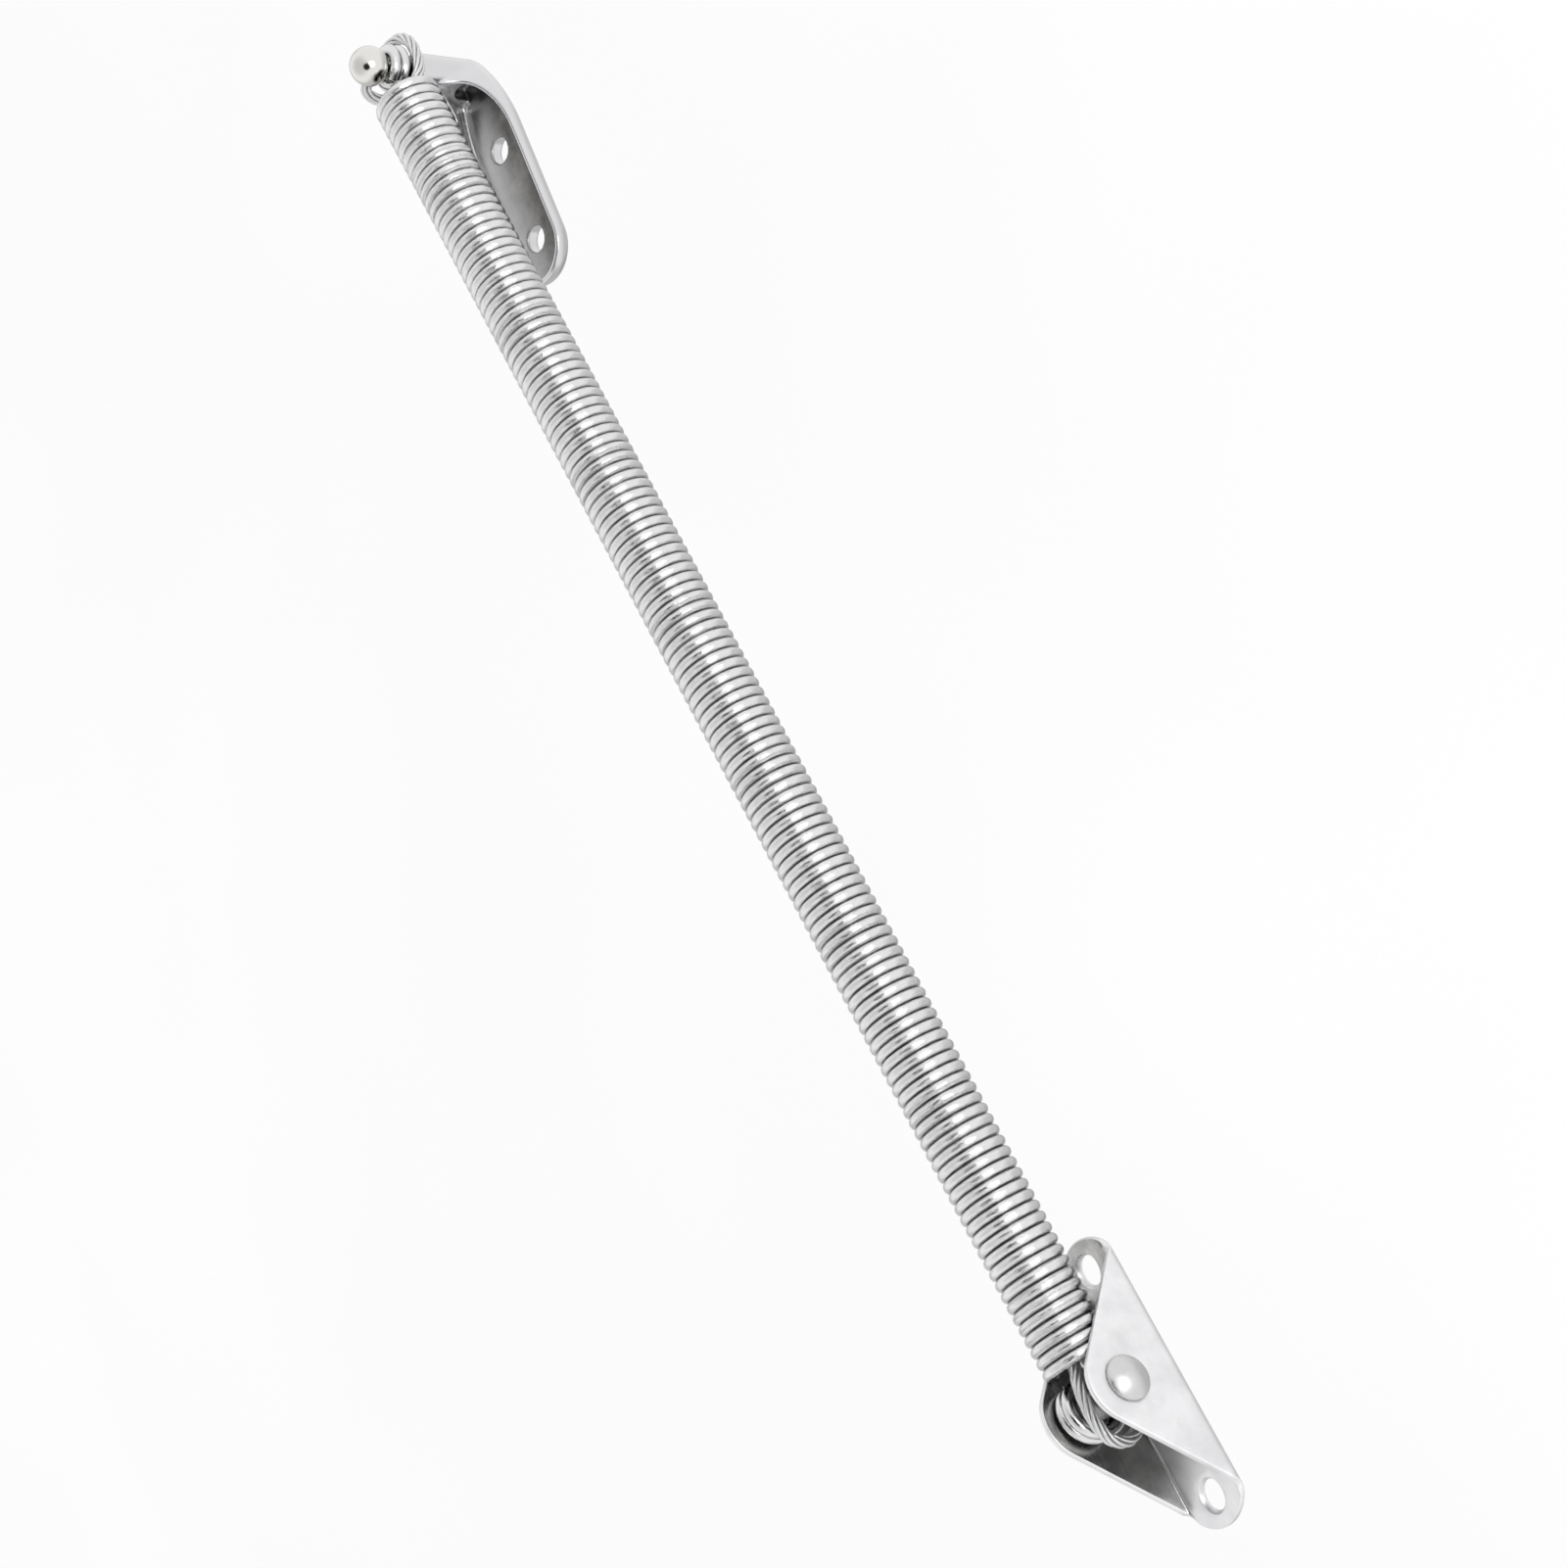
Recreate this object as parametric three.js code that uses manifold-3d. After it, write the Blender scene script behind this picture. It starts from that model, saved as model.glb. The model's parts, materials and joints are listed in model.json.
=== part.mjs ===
// Hatch spring stay: a close-wound spring with a wire rope inside, a folded clevis bracket
// at the low end and a ball-headed stud bracket at the high end. Millimetres, +Z up.
//
// Frame: the origin is the centre of the clevis bracket's mounting face, which lies on Z = 0.
// +X runs along the bracket towards the spring, +Y runs along the rivet, +Z leaves the face.
// The spring leans a little from +X, so it and everything above it live in a turned group.
import * as THREE from "three";
import { mergeVertices } from "three/addons/utils/BufferGeometryUtils.js";
import Module from "manifold-3d";

// ---- driving dimensions ----
const WIRE = 1.6; // spring and eye wire diameter
const COIL_PITCH = 1.6; // close wound: one wire diameter per turn
const COIL_OUTER_R = 5.19;
const COIL_TURNS = 131;
const COIL_PIECES = 8; // lengths of coil that the bending joints part
const MIDDLE_TURNS = 16; // turns in each length but the two end ones
const COIL_STEPS = 8; // straight facets in a turn
const CUT_GAP = 0.3; // along the wire, between two lengths
const ROPE_GAP = 0.2; // each side of a cut
const EYE_STEPS = 50; // straight facets along an eye
const ROPE_STEPS = 46; // straight facets along a rope loop
const COIL_START = 4.8; // from the rivet axis to the first turn
const COIL_END_ANGLE = 77; // where the low end of the wire is cut, from +Z towards +Y
const COIL_CUT_ANGLE = 180; // where the other lengths part, on the side that opens in a bend

const ROPE = 1.8; // wire rope diameter
const FERRULE_LENGTH = 6.5;
const FERRULE_WALL = 0.55;
const FERRULE_START = 6; // from a spring end to its ferrule, inside the bore
const LEG_OFFSET = 0.95; // rope legs in a ferrule, each side of its middle
const FERRULE_Y = -0.9; // the ferrule sits off the spring axis, clear of the eye's tail
const TAIL = { y: 1.8, z: -1.5 }; // the eye's tail in the bore
const ANCHOR_START = 17.7; // from a spring end to the coil that grips the bore
const ANCHOR_R = 2.35;
const ANCHOR_TURNS = 1.5;
const LOWER_EYE_R = 3.7;
const UPPER_EYE_R = 2.8;
const EYE_TURNS = 1.7;
const EYE_PITCH = 1.63;
const LOWER_EYE_Y = 1.71; // where the tail leaves the lower eye, along the rivet
const UPPER_EYE_Z = -0.6; // where the tail leaves the upper eye, along the stud

const SHEET = 0.9; // clevis bracket thickness
const CLEVIS_WIDTH = 12.8;
const CLEVIS_HALF_LENGTH = 20.4;
const EAR_HALF_LENGTH = 16.3;
const EAR_APEX_R = 5.83;
const FOLD_R = 1.4; // outer radius of the two folds
const RIVET_HEIGHT = 8.95;
const RIVET_R = 2.4;
const RIVET_HEAD_R = 3.1;
const RIVET_HEAD_HEIGHT = 1.5;
const SCREW_HOLE_X = 16.25;
const SCREW_HOLE_R = 2.05;
const SCREW_MOUTH_R = 2.4;
const CLEARANCE = 0.1;

const SPRING_YAW = -5.5; // degrees, towards the near ear
const SPRING_PITCH = 3.9; // degrees, away from the mounting face
const SPRING_SHIFT = 0.58; // spring axis from the clevis middle, along the rivet
const RIVET_TO_STUD = 220.4;
const STUD_DROP = 1; // the eyes hang this far from the spring axis, towards the dish
const STUD_TURN = [7.6, 5.1, -2.6]; // degrees about the spring's own X, Y and Z

const BALL_R = 3;
const BALL_Z = 4.8; // ball centre along the stud
const NECK_R = 1.6;
const SHOULDER_Z = -2.9;
const PIN_END_Z = -8; // the ball stud's pin, pressed into the arm
const ARM_R = 2.7;
const ARM_BEND_R = 6.5; // outer radius where the arm turns into the dish
const DISH_BACK_Z = -15.6;
const DISH_FLOOR = 2.1;
const DISH_RIM = 3.1; // rim height above the mounting face
const DISH_WALL = 0.8;
const DISH_EDGE_R = 2.3; // the rounded edge round the mounting face
const DISH_HALF_WIDTH = 6;
const DISH_END_X = -37.8;
const DISH_SHOULDER_X = -12; // where the dish reaches its full width
const DISH_HOLES_X = [-13.8, -30.3];
const DISH_HOLE_R = 2.2;

const COIL_R = COIL_OUTER_R - WIRE / 2;
const { cos, sin, PI } = Math;
const rad = THREE.MathUtils.degToRad;

// ---- solids ----
const wasm = await Module();
wasm.setup();

function toSolid(geometry) {
  const bare = geometry.index ? geometry.toNonIndexed() : geometry.clone();
  bare.deleteAttribute("normal");
  bare.deleteAttribute("uv");
  const merged = mergeVertices(bare, 1e-4);
  return new wasm.Manifold(
    new wasm.Mesh({
      numProp: 3,
      vertProperties: new Float32Array(merged.attributes.position.array),
      triVerts: new Uint32Array(merged.index.array),
    }),
  );
}

function toGeometry(solid) {
  const mesh = solid.getMesh();
  const points = new Float32Array(mesh.numVert * 3);
  for (let i = 0; i < mesh.numVert; i++) {
    const start = i * mesh.numProp;
    points.set(mesh.vertProperties.subarray(start, start + 3), i * 3);
  }
  const geometry = new THREE.BufferGeometry();
  geometry.setAttribute("position", new THREE.BufferAttribute(points, 3));
  geometry.setIndex(new THREE.BufferAttribute(new Uint32Array(mesh.triVerts), 1));
  geometry.computeVertexNormals();
  return geometry;
}

// A prism of an outline in XY, from z = low to z = high.
function slab(shape, low, high, curveSegments = 12) {
  const options = { depth: high - low, bevelEnabled: false, curveSegments };
  return new THREE.ExtrudeGeometry(shape, options).translate(0, 0, low);
}

// A prism of an outline drawn in XZ, from y = low to y = high.
function sideSlab(shape, low, high, curveSegments = 12) {
  return slab(shape, low, high, curveSegments).rotateX(PI / 2).translate(0, low + high, 0);
}

// A solid turned about Y from [radius, y] pairs that start and end on the axis.
function turned(profile, sides) {
  const points = profile.map(([r, y]) => new THREE.Vector2(r, y));
  return new THREE.LatheGeometry(points, sides);
}

function cylinderAlongZ(r, low, high, sides) {
  const cylinder = new THREE.CylinderGeometry(r, r, high - low, sides);
  return cylinder.rotateX(PI / 2).translate(0, 0, (low + high) / 2);
}

// A round wire along a curve.
function wireAlong(curve, radius, steps, sides) {
  const section = new THREE.Shape();
  for (let i = 0; i < sides; i++) {
    const a = (2 * PI * i) / sides;
    if (i === 0) section.moveTo(radius, 0);
    else section.lineTo(radius * cos(a), radius * sin(a));
  }
  section.closePath();
  curve.arcLengthDivisions = steps * 6;
  return new THREE.ExtrudeGeometry(section, { steps, extrudePath: curve });
}

class Path extends THREE.Curve {
  constructor(at) {
    super();
    this.at = at;
  }

  getPoint(t, target = new THREE.Vector3()) {
    return target.copy(this.at(t));
  }
}

// ---- materials ----
const steel = (color, roughness) => () =>
  new THREE.MeshStandardMaterial({ color, roughness, metalness: 1 });
const springSteel = steel(0xc9cacb, 0.22);
const ropeSteel = steel(0xb9bbbd, 0.34);
const sheetSteel = steel(0xd3d4d5, 0.32);
const polishedSteel = steel(0xd2d1cd, 0.12);
const castSteel = steel(0xbcbdbf, 0.36);
const ferruleSteel = steel(0xa9abad, 0.42);

function part(name, geometry, material) {
  const mesh = new THREE.Mesh(geometry, material());
  mesh.name = name;
  return mesh;
}

// ---- clevis bracket and rivet ----
function clevisPlan() {
  const half = CLEVIS_WIDTH / 2;
  const rise = CLEVIS_HALF_LENGTH - EAR_HALF_LENGTH;
  const r = (half * half + rise * rise) / (2 * rise);
  const middle = CLEVIS_HALF_LENGTH - r;
  const spread = Math.asin(half / r);
  const plan = new THREE.Shape();
  plan.absarc(middle, 0, r, -spread, spread, false);
  plan.absarc(-middle, 0, r, PI - spread, PI + spread, false);
  plan.closePath();
  return plan;
}

// Seen along the rivet: the base strip and the ears' 45 degree triangle with its round apex.
function clevisSide() {
  const turn = PI / 4;
  const side = new THREE.Shape();
  side.moveTo(-CLEVIS_HALF_LENGTH - 1, 0);
  side.lineTo(CLEVIS_HALF_LENGTH + 1, 0);
  side.lineTo(CLEVIS_HALF_LENGTH + 1, SHEET);
  side.lineTo(RIVET_HEIGHT + EAR_APEX_R / sin(turn) - SHEET, SHEET);
  side.absarc(0, RIVET_HEIGHT, EAR_APEX_R, turn, PI - turn, false);
  side.lineTo(-RIVET_HEIGHT - EAR_APEX_R / sin(turn) + SHEET, SHEET);
  side.lineTo(-CLEVIS_HALF_LENGTH - 1, SHEET);
  side.closePath();
  return side;
}

// The folded sheet's cross-section, drawn with its width across and its height up.
function clevisSection() {
  const half = CLEVIS_WIDTH / 2;
  const top = RIVET_HEIGHT + EAR_APEX_R + 1;
  const inner = FOLD_R - SHEET;
  const s = new THREE.Shape();
  s.moveTo(half, top);
  s.lineTo(half - SHEET, top);
  s.absarc(half - FOLD_R, FOLD_R, inner, 0, -PI / 2, true);
  s.absarc(-half + FOLD_R, FOLD_R, inner, -PI / 2, -PI, true);
  s.lineTo(-half + SHEET, top);
  s.lineTo(-half, top);
  s.absarc(-half + FOLD_R, FOLD_R, FOLD_R, PI, 1.5 * PI, false);
  s.absarc(half - FOLD_R, FOLD_R, FOLD_R, 1.5 * PI, 2 * PI, false);
  s.closePath();
  return s;
}

function clevisBracket() {
  const reach = CLEVIS_HALF_LENGTH + 2;
  const channel = slab(clevisSection(), -reach, reach, 5).rotateX(PI / 2).rotateZ(PI / 2);
  const plan = slab(clevisPlan(), -1, 30, 10);
  const side = sideSlab(clevisSide(), -10, 10, 12);
  let solid = toSolid(channel).intersect(toSolid(plan)).intersect(toSolid(side));
  const mouth = SHEET + 0.2;
  for (const x of [-SCREW_HOLE_X, SCREW_HOLE_X]) {
    const cutter = turned(
      [[0, -1], [SCREW_HOLE_R, -1], [SCREW_HOLE_R, 0.35], [SCREW_MOUTH_R, SHEET],
        [SCREW_MOUTH_R, mouth], [0, mouth]],
      28,
    );
    solid = solid.subtract(toSolid(cutter.rotateX(PI / 2).translate(x, 0, 0)));
  }
  const bore = new THREE.CylinderGeometry(RIVET_R + CLEARANCE, RIVET_R + CLEARANCE, 30, 28);
  solid = solid.subtract(toSolid(bore.translate(0, 0, RIVET_HEIGHT)));
  return part("clevis_bracket", toGeometry(solid), sheetSteel);
}

function domedHead(z, out) {
  const rim = 0.45;
  const rise = RIVET_HEAD_HEIGHT - rim;
  const r = (RIVET_HEAD_R ** 2 + rise ** 2) / (2 * rise);
  const points = [[RIVET_HEAD_R, z], [RIVET_HEAD_R, z + out * rim]];
  for (let i = 1; i < 5; i++) {
    const x = RIVET_HEAD_R * (1 - i / 5);
    points.push([x, z + out * (rim + Math.sqrt(r * r - x * x) - r + rise)]);
  }
  points.push([0, z + out * RIVET_HEAD_HEIGHT]);
  return points;
}

function clevisRivet() {
  const face = CLEVIS_WIDTH / 2 + 0.05;
  const low = domedHead(-face, -1).reverse();
  const high = domedHead(face, 1);
  const geometry = turned([...low, [RIVET_R, -face], [RIVET_R, face], ...high], 24);
  const rivet = part("clevis_rivet", geometry, polishedSteel);
  rivet.position.set(0, 0, RIVET_HEIGHT);
  return rivet;
}

// ---- spring ----
// The wire runs right-handed up +X; the angle is measured from +Z towards +Y.
function coilPoint(turn) {
  const angle = rad(COIL_END_ANGLE) - 2 * PI * turn;
  const x = COIL_START + WIRE / 2 + turn * COIL_PITCH;
  return new THREE.Vector3(x, COIL_R * sin(angle), COIL_R * cos(angle));
}

// The turn counts where one length of coil ends and the next begins.
function coilCuts() {
  const first = MIDDLE_TURNS + (COIL_END_ANGLE + 360 - COIL_CUT_ANGLE) / 360;
  const cuts = [0];
  for (let i = 1; i < COIL_PIECES; i++) cuts.push(first + (i - 1) * MIDDLE_TURNS);
  return [...cuts, COIL_TURNS];
}

// Where cut i lies along the spring.
function cutX(i) {
  return COIL_START + WIRE / 2 + coilCuts()[i] * COIL_PITCH;
}

function addCoils(group) {
  const cuts = coilCuts();
  const gap = CUT_GAP / (2 * PI * COIL_R);
  for (let i = 0; i < COIL_PIECES; i++) {
    const low = cuts[i] + (i ? gap : 0);
    const curve = new Path((t) => coilPoint(low + t * (cuts[i + 1] - low)));
    const steps = Math.round((cuts[i + 1] - low) * COIL_STEPS);
    const coil = wireAlong(curve, WIRE / 2 - 0.02, steps, 5);
    group.add(part(`spring_coils_${i + 1}`, coil, springSteel));
  }
}

// ---- the spring's own frame ----
// Origin on the spring axis beside the rivet, +X up the spring.
const spring = new THREE.Group();
spring.position.set(0, SPRING_SHIFT, RIVET_HEIGHT);
spring.rotation.set(0, -rad(SPRING_PITCH), rad(SPRING_YAW), "ZYX");
spring.updateMatrix();

// The stud's frame inside it: origin where the stud crosses the spring axis, +Z to the ball.
const stud = new THREE.Group();
stud.position.set(RIVET_TO_STUD, 0, -STUD_DROP);
stud.rotation.set(...STUD_TURN.map(rad));
stud.updateMatrix();

const vec = (x, y, z) => new THREE.Vector3(x, y, z);
const clevisToSpring = spring.matrix.clone().invert();
const fromClevis = (x, y, z) => vec(x, y, z + RIVET_HEIGHT).applyMatrix4(clevisToSpring);
const fromStud = (x, y, z) => vec(x, y, z).applyMatrix4(stud.matrix);

// ---- rope, ferrules and eyes, all in the spring's frame ----
const smooth = (points) => new THREE.CatmullRomCurve3(points, false, "centripetal");
const LOW_END = COIL_START;
const HIGH_END = COIL_START + WIRE + COIL_TURNS * COIL_PITCH;

// The coil on an eye's tail that grips the bore. It starts at x and runs the way of step.
function anchorPoints(x, step) {
  const start = Math.atan2(TAIL.z, TAIL.y);
  const points = [];
  for (let turn = 0; turn <= ANCHOR_TURNS; turn += 1 / 12) {
    const angle = start + 2 * PI * turn;
    const along = x + step * turn * EYE_PITCH;
    points.push(vec(along, ANCHOR_R * cos(angle), ANCHOR_R * sin(angle)));
  }
  return points;
}

// An eye wound on its pin, from its free end to where the tail leaves it.
function woundPoints(turns, at) {
  const count = Math.round(turns * 12);
  return Array.from({ length: count + 1 }, (_, i) => at(turns * (1 - i / count)));
}

function lowerEye() {
  const eye = woundPoints(EYE_TURNS, (turn) => {
    const angle = -PI / 2 - 2 * PI * turn;
    const y = LOWER_EYE_Y + turn * EYE_PITCH;
    return fromClevis(LOWER_EYE_R * cos(angle), y, LOWER_EYE_R * sin(angle));
  });
  const tail = [
    vec(LOW_END - 2.4, 1.35, -3.2),
    vec(LOW_END, 1.6, -1.95),
    vec(LOW_END + 3, TAIL.y, TAIL.z),
    vec(LOW_END + 10, TAIL.y, TAIL.z),
    vec(LOW_END + ANCHOR_START - 2, TAIL.y, TAIL.z),
  ];
  const curve = smooth([...eye, ...tail, ...anchorPoints(LOW_END + ANCHOR_START, 1)]);
  return part("lower_eye", wireAlong(curve, WIRE / 2, EYE_STEPS, 6), springSteel);
}

function upperEye() {
  const eye = woundPoints(EYE_TURNS, (turn) => {
    const angle = PI / 2 - 2 * PI * turn;
    const z = UPPER_EYE_Z + turn * EYE_PITCH;
    return fromStud(UPPER_EYE_R * cos(angle), UPPER_EYE_R * sin(angle), z);
  });
  const tail = [
    fromStud(-2.2, 2.6, -0.62),
    vec(HIGH_END - 0.6, 1.9, -1.3),
    vec(HIGH_END - 3.5, TAIL.y, TAIL.z),
    vec(HIGH_END - 10, TAIL.y, TAIL.z),
    vec(HIGH_END - ANCHOR_START + 2, TAIL.y, TAIL.z),
  ];
  const curve = smooth([...eye, ...tail, ...anchorPoints(HIGH_END - ANCHOR_START, -1)]);
  return part("upper_eye", wireAlong(curve, WIRE / 2, EYE_STEPS, 6), springSteel);
}

// The two rope legs of a loop inside the bore, from its mouth past the ferrule.
// One leg ends there, and the other runs on along the spring axis to x = far.
function deadLeg(end, step) {
  const ferrule = end + step * FERRULE_START;
  return [
    vec(ferrule + step * (FERRULE_LENGTH + 0.7), FERRULE_Y, LEG_OFFSET),
    vec(ferrule + step * FERRULE_LENGTH * 0.5, FERRULE_Y, LEG_OFFSET),
    vec(ferrule - step * 0.4, FERRULE_Y, LEG_OFFSET),
  ];
}

function liveLeg(end, step, far) {
  const ferrule = end + step * FERRULE_START;
  return [
    vec(ferrule - step * 0.4, FERRULE_Y, -LEG_OFFSET),
    vec(ferrule + step * FERRULE_LENGTH * 0.5, FERRULE_Y, -LEG_OFFSET),
    vec(ferrule + step * FERRULE_LENGTH, FERRULE_Y, -LEG_OFFSET),
    vec(ferrule + step * (FERRULE_LENGTH + 2.4), FERRULE_Y / 2, -LEG_OFFSET / 2),
    vec(ferrule + step * (FERRULE_LENGTH + 4.6), 0, 0),
    vec((ferrule + step * (FERRULE_LENGTH + 4.6) + far) / 2, 0, 0),
    vec(far, 0, 0),
  ];
}

function lowerRopeLoop() {
  const loop = [
    vec(LOW_END, -1, 2.05),
    vec(2.6, -1.2, 2.95),
    vec(0, -1.35, 3.45),
    vec(-2.4, -1.35, 3.4),
    vec(-4.9, -1.3, 2.4),
    vec(-5.9, -1.2, 0),
    vec(-4.9, -1.1, -2.5),
    vec(-2.4, -1, -3.5),
    vec(0, -1, -3.5),
    vec(2.6, -1, -3),
    vec(LOW_END, -1, -2.1),
  ];
  const far = cutX(1) - ROPE_GAP;
  const curve = smooth([...deadLeg(LOW_END, 1), ...loop, ...liveLeg(LOW_END, 1, far)]);
  return part("lower_rope_loop", wireAlong(curve, ROPE / 2, ROPE_STEPS, 6), ropeSteel);
}

function upperRopeLoop() {
  const loop = [
    vec(HIGH_END - 2.2, 0.5, 1.2),
    vec(HIGH_END - 0.1, 1.6, 1.5),
    fromStud(-3.1, 3.5, 2.9),
    fromStud(-0.6, 4.7, 3),
    fromStud(2.5, 4.1, 1),
    fromStud(4.9, 1.8, -0.8),
    fromStud(5.2, -0.9, -1.8),
    fromStud(3.2, -2.9, -1.9),
    fromStud(0.3, -3.3, -1.9),
    fromStud(-2.2, -2.9, -1.6),
    vec(HIGH_END - 0.2, -1.8, -1.4),
    vec(HIGH_END - 2.6, -1.1, -0.9),
  ];
  const far = cutX(COIL_PIECES - 1) + ROPE_GAP;
  const curve = smooth([...deadLeg(HIGH_END, -1), ...loop, ...liveLeg(HIGH_END, -1, far)]);
  return part("upper_rope_loop", wireAlong(curve, ROPE / 2, ROPE_STEPS, 6), ropeSteel);
}

function ropeLength(i) {
  const low = cutX(i) + ROPE_GAP;
  const high = cutX(i + 1) - ROPE_GAP;
  const rope = new THREE.CylinderGeometry(ROPE / 2, ROPE / 2, high - low, 8);
  rope.rotateZ(PI / 2).translate((low + high) / 2, 0, 0);
  return part(`wire_rope_${i + 1}`, rope, ropeSteel);
}

// An oval crimp sleeve round both rope legs.
function ferrule(name, end, step) {
  const outline = (r) => {
    const oval = new THREE.Shape();
    oval.absarc(LEG_OFFSET, 0, r, -PI / 2, PI / 2, false);
    oval.absarc(-LEG_OFFSET, 0, r, PI / 2, 1.5 * PI, false);
    oval.closePath();
    return oval;
  };
  const inner = ROPE / 2 + 0.05;
  const sleeve = outline(inner + FERRULE_WALL);
  const length = FERRULE_LENGTH;
  const outer = toSolid(slab(sleeve, 0, length, 6));
  const hollow = toSolid(slab(outline(inner), -1, length + 1, 6));
  const geometry = toGeometry(outer.subtract(hollow));
  const low = Math.min(end + step * FERRULE_START, end + step * (FERRULE_START + length));
  geometry.rotateY(PI / 2).translate(low, FERRULE_Y, 0);
  return part(name, geometry, ferruleSteel);
}

// ---- stud bracket and ball stud, in the stud's frame ----
// The dish seen from the ball: a round end, straight sides, and a waist at the arm.
function dishPlan(inset) {
  const half = DISH_HALF_WIDTH - inset;
  const arm = ARM_R - inset;
  const end = DISH_END_X + DISH_HALF_WIDTH;
  const waist = DISH_SHOULDER_X * 0.45;
  const plan = new THREE.Shape();
  plan.moveTo(end, -half);
  plan.lineTo(DISH_SHOULDER_X, -half);
  plan.bezierCurveTo(waist, -half, waist, -arm, 0, -arm);
  plan.absarc(0, 0, arm, -PI / 2, PI / 2, false);
  plan.bezierCurveTo(waist, arm, waist, half, DISH_SHOULDER_X, half);
  plan.lineTo(end, half);
  plan.absarc(end, 0, half, PI / 2, 1.5 * PI, false);
  plan.closePath();
  return plan;
}

// The bracket seen along its width: the arm bends into the dish, and the rims rise to the arm.
function dishSide() {
  const bend = ARM_R - ARM_BEND_R;
  const rim = DISH_BACK_Z + DISH_RIM;
  const side = new THREE.Shape();
  side.moveTo(DISH_END_X - 1, DISH_BACK_Z);
  side.lineTo(bend, DISH_BACK_Z);
  side.absarc(bend, DISH_BACK_Z + ARM_BEND_R, ARM_BEND_R, -PI / 2, 0, false);
  side.lineTo(ARM_R, SHOULDER_Z - 4);
  side.lineTo(-ARM_R, SHOULDER_Z - 4);
  side.bezierCurveTo(-ARM_R, rim + 2.2, -4.2, rim + 1.5, -8, rim + 0.6);
  side.quadraticCurveTo(-11, rim, -15, rim);
  side.lineTo(DISH_END_X - 1, rim);
  side.closePath();
  return side;
}

// The hollow seen along the width: open above the dish, with a pocket under the arm.
function hollowSide() {
  const floor = DISH_BACK_Z + DISH_FLOOR;
  const hollow = new THREE.Shape();
  hollow.moveTo(DISH_END_X - 1, floor);
  hollow.lineTo(-2.5, floor);
  hollow.quadraticCurveTo(-0.8, floor + 0.2, -0.8, floor + 1.6);
  hollow.quadraticCurveTo(-0.9, floor + 3.6, -3, floor + 4.6);
  hollow.lineTo(-4.5, floor + 9);
  hollow.lineTo(DISH_END_X - 1, floor + 9);
  hollow.closePath();
  return hollow;
}

function studBracket() {
  const rounded = new THREE.ExtrudeGeometry(dishPlan(0), {
    depth: 16,
    curveSegments: 9,
    bevelThickness: DISH_EDGE_R,
    bevelSize: DISH_EDGE_R,
    bevelOffset: -DISH_EDGE_R,
    bevelSegments: 3,
  }).translate(0, 0, DISH_BACK_Z + DISH_EDGE_R);
  const body = toSolid(sideSlab(dishSide(), -10, 10, 8)).intersect(toSolid(rounded));
  const innerPlan = toSolid(slab(dishPlan(DISH_WALL), DISH_BACK_Z, 10, 9));
  const hollow = toSolid(sideSlab(hollowSide(), -9, 9, 6)).intersect(innerPlan);
  const armEnd = SHOULDER_Z - 5;
  const arm = turned(
    [[0, armEnd], [ARM_R, armEnd], [ARM_R, SHOULDER_Z - 0.4],
      [ARM_R - 0.4, SHOULDER_Z], [0, SHOULDER_Z]],
    24,
  ).rotateX(PI / 2);
  let solid = body.add(toSolid(arm)).subtract(hollow);
  const bore = cylinderAlongZ(NECK_R + CLEARANCE, PIN_END_Z - CLEARANCE, 0, 20);
  solid = solid.subtract(toSolid(bore));
  for (const x of DISH_HOLES_X) {
    const hole = cylinderAlongZ(DISH_HOLE_R, DISH_BACK_Z - 1, 0, 24).translate(x, 0, 0);
    solid = solid.subtract(toSolid(hole));
  }
  return part("stud_bracket", toGeometry(solid), castSteel);
}

function ballStud() {
  const profile = [[0, PIN_END_Z], [NECK_R, PIN_END_Z]];
  const neck = Math.asin(NECK_R / BALL_R);
  const steps = 11;
  for (let i = 0; i < steps; i++) {
    const angle = neck + ((PI - neck) * i) / steps;
    profile.push([BALL_R * sin(angle), BALL_Z - BALL_R * cos(angle)]);
  }
  profile.push([0, BALL_Z + BALL_R]);
  return part("ball_stud", turned(profile, 22).rotateX(PI / 2), polishedSteel);
}

// ---- assembly ----
const stay = new THREE.Group();
stay.add(clevisBracket(), clevisRivet(), spring);
addCoils(spring);
spring.add(lowerEye(), lowerRopeLoop(), ferrule("lower_ferrule", LOW_END, 1));
for (let i = 1; i < COIL_PIECES - 1; i++) spring.add(ropeLength(i));
spring.add(upperEye(), upperRopeLoop(), ferrule("upper_ferrule", HIGH_END, -1), stud);
stud.add(studBracket(), ballStud());

export default stay;
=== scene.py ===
"""A spring hatch stay: its round wire, laid rope, pressed clevis and cast stud bracket.

Sizes are in millimetres in the spring's, the stud's or the row's own frame. Every frame comes
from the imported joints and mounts, and points turn into metres when a mesh is made.
"""

import json
import math

import bpy
import numpy as np
from mathutils import Matrix, Vector
from mathutils.geometry import delaunay_2d_cdt

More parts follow.
